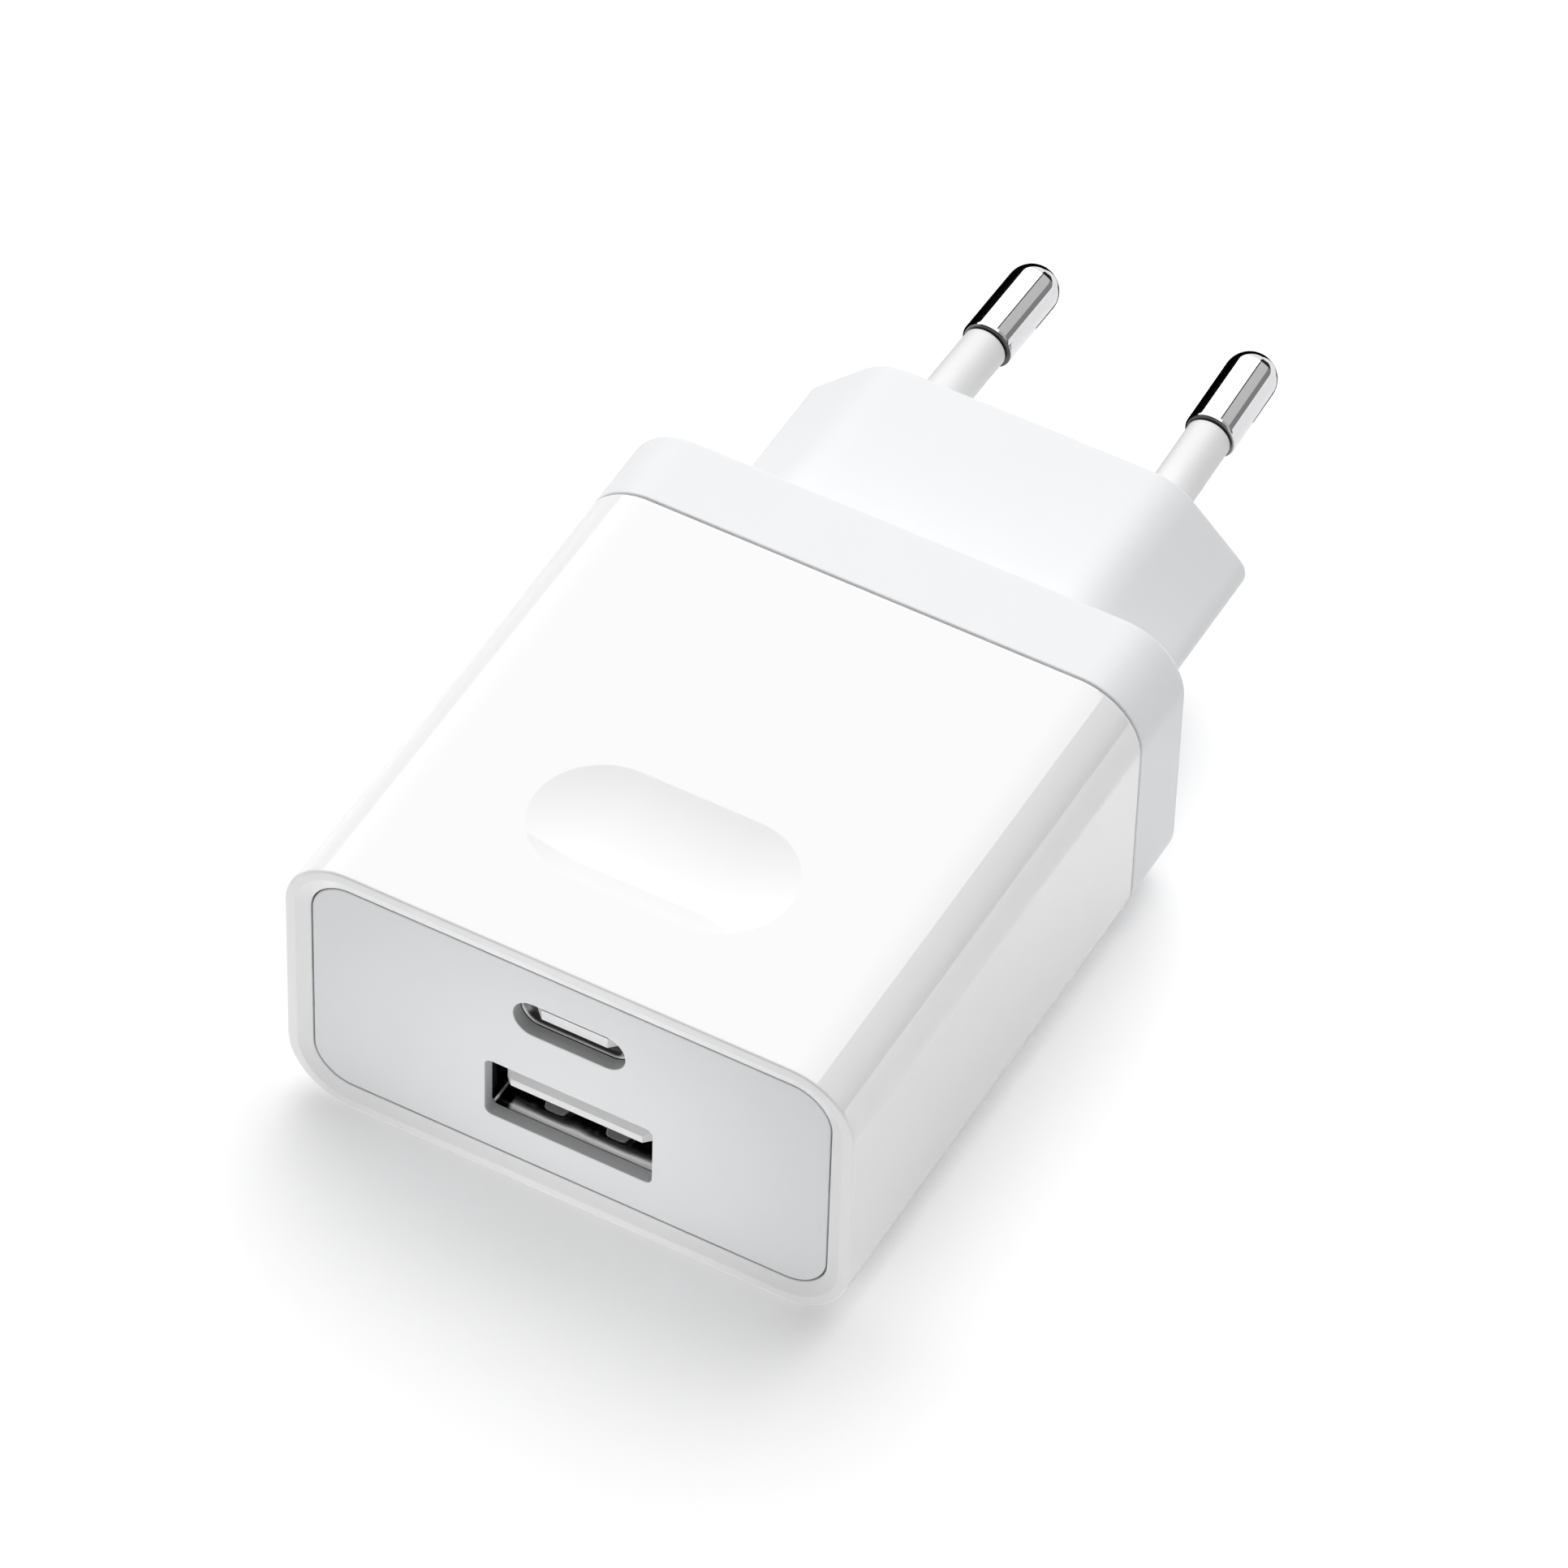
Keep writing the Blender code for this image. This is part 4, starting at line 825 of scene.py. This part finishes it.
def spoken(outline, outward, angles):
    """Where rays at these angles from the middle meet an outline, and its directions there.

    Each ray falls between two neighbouring points, and cuts the line between them.
    """
    own = np.arctan2(outline[:, 1], outline[:, 0])
    order = np.argsort(own)
    ring = np.concatenate([order[-1:], order, order[:1]])
    place_in_ring = np.searchsorted(own[order], angles + ANGLE_NUDGE)
    before, after = ring[place_in_ring], ring[place_in_ring + 1]
    ray = np.stack([np.cos(angles), np.sin(angles)], axis=1)
    start = outline[before]
    run = outline[after] - start
    share = (-crossed(ray, start) / crossed(ray, run))[:, None]
    facing = outward[before] * (1 - share) + outward[after] * share
    return start + run * share, facing / np.linalg.norm(facing, axis=1, keepdims=True)


def pin_place(side, along):
    """The point of a pin's axis at a distance beyond the boss's face."""
    lean = side * (PIN_AT_TIP - PIN_AT_FACE) / PIN_LENGTH
    return np.array([side * PIN_AT_FACE + lean * along, BOSS_FACE + along, 0.0])


def make_end_cap():
    """The satin end cap and its pointed boss, hollow inside and with a hole for each pin.

    It is one profile whose outline changes from the casing's to the boss's at the cap's rear face.
    Both outlines are cut by the same rays.
    """
    cap = casing_outline()
    edges = [BOSS_EDGE_RADIUS, BOSS_EDGE_RADIUS, BOSS_TIP_RADIUS] * 2
    boss = rounded_outline(boss_corners(), edges, ARC_STEPS, BOSS_RUN_STEPS)
    angles = np.concatenate([np.arctan2(points[:, 1], points[:, 0]) for points in (cap[0], boss[0])])
    angles = np.unique(angles.round(ANGLE_DIGITS))
    cap = spoken(*cap, angles)
    boss = spoken(*boss, angles)
    seam = SHELL_LENGTH + SEAM_GAP
    pocket = COVER_REAR - COVER_REAR_WALL
    hollow_end = BOSS_FACE - BOSS_END_WALL
    hollow = np.array([(BOSS_WALL, hollow_end), (BOSS_WALL, pocket)])
    cup = softened([(SHELL_WALL, pocket), (SHELL_WALL, COVER_FRONT), (SPIGOT_INSET, COVER_FRONT),
                    (SPIGOT_INSET, seam), (0, seam), (0, COVER_REAR),
                    (2 * COVER_EDGE_RADIUS, COVER_REAR)],
                   [0, 0, 0, 0, SEAM_EDGE_RADIUS, COVER_EDGE_RADIUS, 0])
    horn = softened([(-2 * BOSS_FOOT_RADIUS, COVER_REAR), (0, COVER_REAR), (0, BOSS_FACE),
                     (2 * BOSS_RIM_RADIUS, BOSS_FACE)], [0, BOSS_FOOT_RADIUS, BOSS_RIM_RADIUS, 0])
    skins = [skin(np.concatenate([carried(*boss, hollow), carried(*cap, cup), carried(*boss, horn)]))]
    spoke = PIN_HOLE_RADIUS * np.stack([np.cos(TURN), np.sin(TURN)], axis=1)
    for side, _ in SIDES:
        centre = np.stack([pin_place(side, end) for end in (-BOSS_END_WALL, 0.0)])
        skins.append(skin(place(centre[:, 0, None] + spoke[:, 0], centre[:, 1, None],
                                centre[:, 2, None] + spoke[:, 1])))
    mesh = make_mesh("end_cap", skins, (hollow_end, BOSS_FACE))
    seat("end_cap", mesh, "rear_cover", "cover")


def make_pins():
    """Two plated pins and their sleeves, turned about axes that lean in towards the tips."""
    dome = np.linspace(0, np.pi / 2, DOME_STEPS + 1)
    tip = np.stack([PIN_LENGTH - PIN_RADIUS + PIN_RADIUS * np.sin(dome),
                    PIN_RADIUS * np.cos(dome)], axis=1)
    body = softened([(PIN_HEAD_BACK, 0), (PIN_HEAD_BACK, PIN_HEAD_RADIUS),
                     (PIN_HEAD_FRONT, PIN_HEAD_RADIUS), (PIN_HEAD_FRONT, PIN_NECK_RADIUS),
                     (PIN_SHOULDER, PIN_NECK_RADIUS), (PIN_SHOULDER, PIN_RADIUS), tuple(tip[0])],
                    [0, PIN_HEAD_EDGE, PIN_HEAD_EDGE, 0, 0, PIN_SHOULDER_RADIUS, 0])
    pin = np.concatenate([body, tip[1:]])
    sleeve = softened([(SLEEVE_BACK, SLEEVE_BORE), (SLEEVE_BACK, SLEEVE_RADIUS),
                       (SLEEVE_FRONT, SLEEVE_RADIUS), (SLEEVE_FRONT, SLEEVE_BORE)],
                      [0, 0, SLEEVE_EDGE_RADIUS, 0])
    for side, label in SIDES:
        origin = pin_place(side, 0.0)
        axis = pin_place(side, 1.0) - origin
        mesh = make_mesh("plug_pin_" + label, [skin(turned(origin, axis, pin))])
        seat("plug_pin_" + label, mesh, "pin_" + label, "pin")
        mesh = make_mesh("plug_sleeve_" + label, [skin(turned(origin, axis, sleeve), round_rows=True)])
        seat("plug_sleeve_" + label, mesh, "pin_sleeve_" + label, "pin_sleeve")


def make_larger_shell():
    """The larger port's drawn metal shell: its inner outline carried straight back, grown outward.

    Its floor has two windows, where the gripping springs rise. Only cells with all their corners
    marked go, so each window has a row of points in its middle, and one point parts the windows.
    """
    outer = SPRING_SPACING / 2 + SPRING_WIDTH / 2 + SPRING_FIT
    inner = SPRING_SPACING / 2 - SPRING_WIDTH / 2 - SPRING_FIT
    on_floor = [(across, A_FLOOR) for across in (-outer, -inner, 0.0, inner, outer)]
    corners = [(A_HALF_WIDTH, A_ROOF), (-A_HALF_WIDTH, A_ROOF), (-A_HALF_WIDTH, A_FLOOR), *on_floor,
               (A_HALF_WIDTH, A_FLOOR)]
    radii = [A_BEND_RADIUS, A_BEND_RADIUS, A_BEND_RADIUS, *[0] * len(on_floor), A_BEND_RADIUS]
    outline, outward = rounded_outline(corners, radii, ARC_STEPS // 2)
    front, back = SPRING_FRONT - SPRING_FIT, SPRING_HINGE + 2 * SPRING_FIT
    depths = np.array([A_SHELL_LOW[DEPTH], front, (front + back) / 2, back, A_SHELL_HIGH[DEPTH]])
    columns = (outline[:, 1] < A_FLOOR + TOUCH) & within(np.abs(outline[:, 0]), inner, outer)
    gone = within(depths, front, back)[:, None] & columns[None]
    mesh = make_mesh("larger_port_shell", [skin(carried_back(outline, outward, depths), gone=gone)])
    seat("larger_port_shell", mesh, "usb_a_shell", "port_shell", sheet=A_SHEET, side=1.0)


def make_smaller_shell():
    """The smaller port's drawn metal shell, made as the larger one is, with round ends."""
    half_height = C_HEIGHT / 2 - C_REVEAL
    outline, outward = slot_outline(C_WIDTH - 2 * C_REVEAL, 2 * half_height, half_height - END_SPARE,
                                    C_MIDDLE)
    depths = np.linspace(C_SHELL_LOW[DEPTH], C_SHELL_HIGH[DEPTH], C_SHELL_RINGS)
    mesh = make_mesh("smaller_port_shell", [skin(carried_back(outline, outward, depths))])
    seat("smaller_port_shell", mesh, "usb_c_shell", "port_shell", sheet=C_SHEET, side=1.0,
         finish="small_shell")


def make_springs():
    """Two gripping springs: a bowed path across a width that draws in round the nose's corners."""
    hinge = A_FLOOR - A_SHEET / 2
    crest = A_FLOOR + SPRING_RISE - SPRING_SHEET / 2
    nose = SPRING_FRONT + SPRING_NOSE
    path = softened([(SPRING_FRONT, hinge + SPRING_NOSE_RISE), (nose, crest),
                     (nose + SPRING_CREST, crest), (SPRING_HINGE - SPRING_FLAT, hinge),
                     (SPRING_HINGE + SPRING_FIT, hinge)],
                    [0, SPRING_BEND_RADIUS, SPRING_BEND_RADIUS, SPRING_BEND_RADIUS, 0])
    start, ahead = path[0], path[1]
    lead = np.linspace(0, 1, SPRING_LEAD_STEPS, endpoint=False)[:, None]
    path = np.concatenate([start + (ahead - start) * lead, path[1:]])
    run = path[:, 0] - SPRING_FRONT
    radius = SPRING_CORNER_RADIUS
    draw = radius - np.sqrt(radius ** 2 - np.clip(radius - run, 0, None) ** 2)
    share = np.linspace(-1, 1, SPRING_COLUMNS)
    for side, label in SIDES:
        across = side * SPRING_SPACING / 2 + share[None] * (SPRING_WIDTH / 2 - draw)[:, None]
        points = place(across, path[:, 0, None], path[:, 1, None])
        mesh = make_mesh("gripping_spring_" + label, [skin(points, round_columns=False)])
        seat("gripping_spring_" + label, mesh, "usb_a_spring_" + label, "port_shell",
             "spring_" + label, SPRING_SHEET, finish="spring")


def dress_frame():
    """Gives each frame node that still shows the finish of its slot."""
    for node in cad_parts.values():
        for held in node.material_slots:
            held.material = FINISHES[held.material.name.split(".")[0]]


# Floor: its size and look, how strongly it glows, and the places between which the glow changes
FLOOR_SIZE = 6.0
FLOOR_DROP = 0.00002
FLOOR_ROUGHNESS = 0.9
FLOOR_COLOUR = (0.93, 0.93, 0.935)
FLOOR_SEEN = (0.95, 0.95, 0.955)
FLOOR_GLOW_SEEN = 0.16
FLOOR_GLOW = 0.18
FLOOR_GLOW_NEAR = 0.52
FLOOR_GLOW_AHEAD = 0.36
FLOOR_GLOW_GLOSS = 0.02
FLOOR_GLOW_POOL = 0.25
FLOOR_NEAR = (-0.034, -0.044)
FLOOR_AHEAD = (-0.050, -0.064)
POOL_SIDE = (0.038, 0.028)
POOL_FRONT = (-0.03, 0.012)
POOL_REAR = (0.022, 0.012)

# Lights of the dome: climb over the floor and turn about the charger in degrees, and strength
SOFT_LIGHTS = ((12, 0, 0.35), (12, 225, 0.25), (12, 315, 0.35), (35, 225, 1.08), (58, 180, 2.85),
               (88, 0, 1.0))
SOFT_LIGHT_EDGE = 0.75
WHITE = (1.0, 1.0, 1.0, 1.0)

# Lamp in front of the panel, with its turn and cone in degrees
FRONT_LAMP_PLACE = (0.0, -0.30, 0.004)
FRONT_LAMP_TURN = (90.0, 0.0, 0.0)
FRONT_LAMP_POWER = 0.87
FRONT_LAMP_CONE = 10.0
FRONT_LAMP_RADIUS = 0.01

# Curved cards: how far off they hang, and where along the charger they start, change and end
CARD_RADIUS = 0.9
CARD_NEAR = -0.4
CARD_SPLIT = 0.71
CARD_FAR = 1.4
CARD_BEYOND = 4.0

# Card in front: its angles over the floor in degrees, its half width and its brightness
FRONT_CARD_ANGLES = (58.0, 6.0)
FRONT_CARD_HALF = 0.9
FRONT_CARD_LEVEL = 0.06

# Cards overhead: first and last angle from straight up in degrees, near and far end, brightness
CARDS = (
    ("sheet_over_casing", -71.0, 26.2, CARD_NEAR, CARD_SPLIT, 1.6),
    ("grey_over_casing", 26.2, 64.0, CARD_NEAR, CARD_SPLIT, 0.46),
    ("grey_low", 64.0, 75.0, CARD_NEAR, CARD_SPLIT, 0.33),
    ("dark_low", 75.0, 86.0, CARD_NEAR, CARD_SPLIT, 0.18),
    ("pale_left", -89.0, -71.0, CARD_NEAR, CARD_FAR, 0.80),
    ("sheet_over_pins", -71.0, 14.0, CARD_SPLIT, CARD_FAR, 1.6),
    ("line_over_pins", 14.0, 19.0, CARD_SPLIT, CARD_FAR, 0.05),
    ("grey_over_pins", 19.0, 60.0, CARD_SPLIT, CARD_FAR, 0.60),
    ("dark_over_pins", 60.0, 82.0, CARD_SPLIT, CARD_FAR, 0.25),
    ("edge_over_pins", 8.0, 82.0, CARD_FAR, CARD_BEYOND, 0.02),
)

# Flags by each pin: beside it, close behind it and at the end of its sleeve
FLAG_GAP = 7.0
FLAG_TOPS = (16.3, 15.4)
FLAG_START = 30.0
FLAG_END = 140.0
BEHIND_GAP = 1.5
BEHIND_TOP = 11.0
BEHIND_START = 44.0
BEHIND_END = 75.0
RIM_AT = 46.0
RIM_WIDTH = 3.2
RIM_TOP = 9.0


def plain_light(name, level):
    """A surface of one even brightness, clear from behind."""
    material = bpy.data.materials.new(name)
    material.use_nodes = True
    tree = material.node_tree
    tree.nodes.clear()
    behind = Wire(tree, tree.nodes.new("ShaderNodeNewGeometry").outputs["Backfacing"])
    glow = behind.node("Emission", {}, {"Color": WHITE, "Strength": level})
    clear = behind.node("BsdfTransparent", {}, {})
    surface = behind.node("MixShader", {}, {0: behind, 1: glow, 2: clear})
    out = tree.nodes.new("ShaderNodeOutputMaterial")
    tree.links.new(surface.socket, out.inputs[0])
    return material


def staged(name, mesh, material):
    """An object of the studio that isn't part of the charger."""
    mesh.materials.append(material)
    thing = put_in_scene(name, mesh)
    return thing


def stand_card(name, points, level):
    """A card from a grid of points, which lights nothing and shows only in gloss."""
    points, cells = skin(points, round_columns=False)
    mesh = bpy.data.meshes.new(name)
    mesh.from_pydata(points, [], cells.tolist())
    card = staged(name, mesh, plain_light(name, level))
    card.visible_camera = False
    card.visible_diffuse = False
    card.visible_shadow = False


def hang_card(name, first, last, near, far, level):
    """A curved card over the charger, drawn out from near to far.

    It is an arc about the charger's length between two angles from straight up.
    """
    angle = np.radians(np.linspace(first, last, CARD_STEPS))[:, None]
    run = np.array([near, far])[None]
    stand_card(name, grid(CARD_RADIUS * np.sin(angle), run, CARD_RADIUS * np.cos(angle)), level)


def hang_front_card():
    """A dark curved card in front: an arc about the charger's width between two angles."""
    angle = np.radians(np.linspace(*FRONT_CARD_ANGLES, CARD_STEPS))[:, None]
    across = np.array([-FRONT_CARD_HALF, FRONT_CARD_HALF])[None]
    points = grid(across, -CARD_RADIUS * np.cos(angle), CARD_RADIUS * np.sin(angle))
    stand_card("dark_front", points, FRONT_CARD_LEVEL)


def stand_flag(name, first, last, top):
    """A black upright card from one place on the floor to another, clear from its left."""
    ends = np.array([first, last])
    points = grid(ends[:, :1], ends[:, 1:], np.array([top, 0.0]))
    stand_card(name, points * MM, level=0.0)


def hang_cards():
    """A bright sheet overhead, greys to the right of it, dark in front, and flags by each pin."""
    hang_front_card()
    for card in CARDS:
        hang_card(*card)
    for (side, label), top in zip(SIDES, FLAG_TOPS):
        across = side * PIN_AT_TIP
        beside = across - FLAG_GAP
        behind = across - BEHIND_GAP
        stand_flag("flag_" + label, (beside, FLAG_START), (beside, FLAG_END), top)
        stand_flag("flag_behind_" + label, (behind, BEHIND_START), (behind, BEHIND_END), BEHIND_TOP)
        stand_flag("flag_rim_" + label, (across, RIM_AT), (across + RIM_WIDTH, RIM_AT), RIM_TOP)


def lay_floor():
    """The pale floor, a hair under the charger.

    It glows a little, most in front, and for gloss most in a pool beside the rear of the casing.
    """
    half = FLOOR_SIZE / 2
    mesh = bpy.data.meshes.new("floor")
    corners = [(-half, -half), (half, -half), (half, half), (-half, half)]
    mesh.from_pydata([(x, y, -FLOOR_DROP) for x, y in corners], [], [(0, 1, 2, 3)])
    material = bpy.data.materials.new("floor")
    material.use_nodes = True
    tree = material.node_tree
    shader = tree.nodes["Principled BSDF"]
    shader.inputs["Roughness"].default_value = FLOOR_ROUGHNESS
    shader.inputs["Specular IOR Level"].default_value = 0.0
    shader.inputs["Emission Strength"].default_value = 1.0
    path = tree.nodes.new("ShaderNodeLightPath")
    gloss = Wire(tree, path.outputs["Is Glossy Ray"])
    seen = Wire(tree, path.outputs["Is Camera Ray"])
    spot = Wire(tree, tree.nodes.new("ShaderNodeTexCoord").outputs["Object"])
    ahead = spot.axis(DEPTH).above(*FLOOR_AHEAD)
    glow = ahead.blend(grey(FLOOR_GLOW_NEAR), grey(FLOOR_GLOW_AHEAD))
    glow = spot.axis(DEPTH).above(*FLOOR_NEAR).blend(grey(FLOOR_GLOW), glow)
    pool = spot.axis(ACROSS).above(*POOL_SIDE) * spot.axis(DEPTH).above(*POOL_FRONT)
    pool = pool * spot.axis(DEPTH).above(*POOL_REAR)
    glow = gloss.blend(glow, pool.blend(grey(FLOOR_GLOW_GLOSS), grey(FLOOR_GLOW_POOL)))
    feed(shader, emission_color=seen.blend(glow, grey(FLOOR_GLOW_SEEN)),
         base_color=seen.blend(FLOOR_COLOUR, FLOOR_SEEN))
    staged("floor", mesh, material)


def set_front_lamp():
    """A weak lamp with a soft cone, low in front of the panel."""
    data = bpy.data.lights.new("front_lamp", "SPOT")
    data.energy = FRONT_LAMP_POWER
    data.spot_size = math.radians(FRONT_LAMP_CONE)
    data.spot_blend = 1.0
    data.shadow_soft_size = FRONT_LAMP_RADIUS
    lamp = put_in_scene("front_lamp", data)
    lamp.location = FRONT_LAMP_PLACE
    lamp.rotation_euler = [math.radians(part) for part in FRONT_LAMP_TURN]


def light_dome():
    """A dome that gives a few wide soft lights, each a cone that fades evenly from its middle.

    The camera, metal and gloss see it as plain white.
    """
    world = bpy.data.worlds.new("dome")
    bpy.context.scene.world = world
    world.use_nodes = True
    tree = world.node_tree
    glow = tree.nodes["Background"]
    glow.inputs["Color"].default_value = WHITE
    path = tree.nodes.new("ShaderNodeLightPath")
    seen = Wire(tree, path.outputs["Is Camera Ray"])
    for ray in ("Is Glossy Ray", "Is Transmission Ray"):
        seen = seen.maths("MAXIMUM", seen, Wire(tree, path.outputs[ray]))
    direction = Wire(tree, tree.nodes.new("ShaderNodeTexCoord").outputs["Generated"])
    light = 0.0
    for climb, turn, strength in SOFT_LIGHTS:
        climb, turn = math.radians(climb), math.radians(turn)
        middle = (math.cos(climb) * math.sin(turn), -math.cos(climb) * math.cos(turn), math.sin(climb))
        near = direction.node("VectorMath", {"operation": "DOT_PRODUCT"}, {0: direction, 1: middle}, 1)
        cone = near.maths("MAXIMUM", (near - SOFT_LIGHT_EDGE) * (1 / (1 - SOFT_LIGHT_EDGE)), 0.0)
        light = light + strength * cone
    level = seen + (1 - seen) * light
    tree.links.new(level.socket, glow.inputs["Strength"])


def set_camera():
    """The camera of the photograph."""
    data = bpy.data.cameras.new("camera")
    data.lens = CAMERA_LENS
    data.sensor_width = CAMERA_SENSOR
    camera = put_in_scene("camera", data)
    camera.location = [part * MM for part in CAMERA_PLACE]
    camera.rotation_euler = [math.radians(part) for part in CAMERA_TURN]
    bpy.context.scene.camera = camera


mix_finishes()
set_camera()
make_casing_tube()
make_port_panel()
make_end_cap()
make_pins()
make_larger_shell()
make_smaller_shell()
make_springs()
dress_frame()
lay_floor()
light_dome()
set_front_lamp()
hang_cards()
bpy.context.scene.view_settings.view_transform = "Standard"
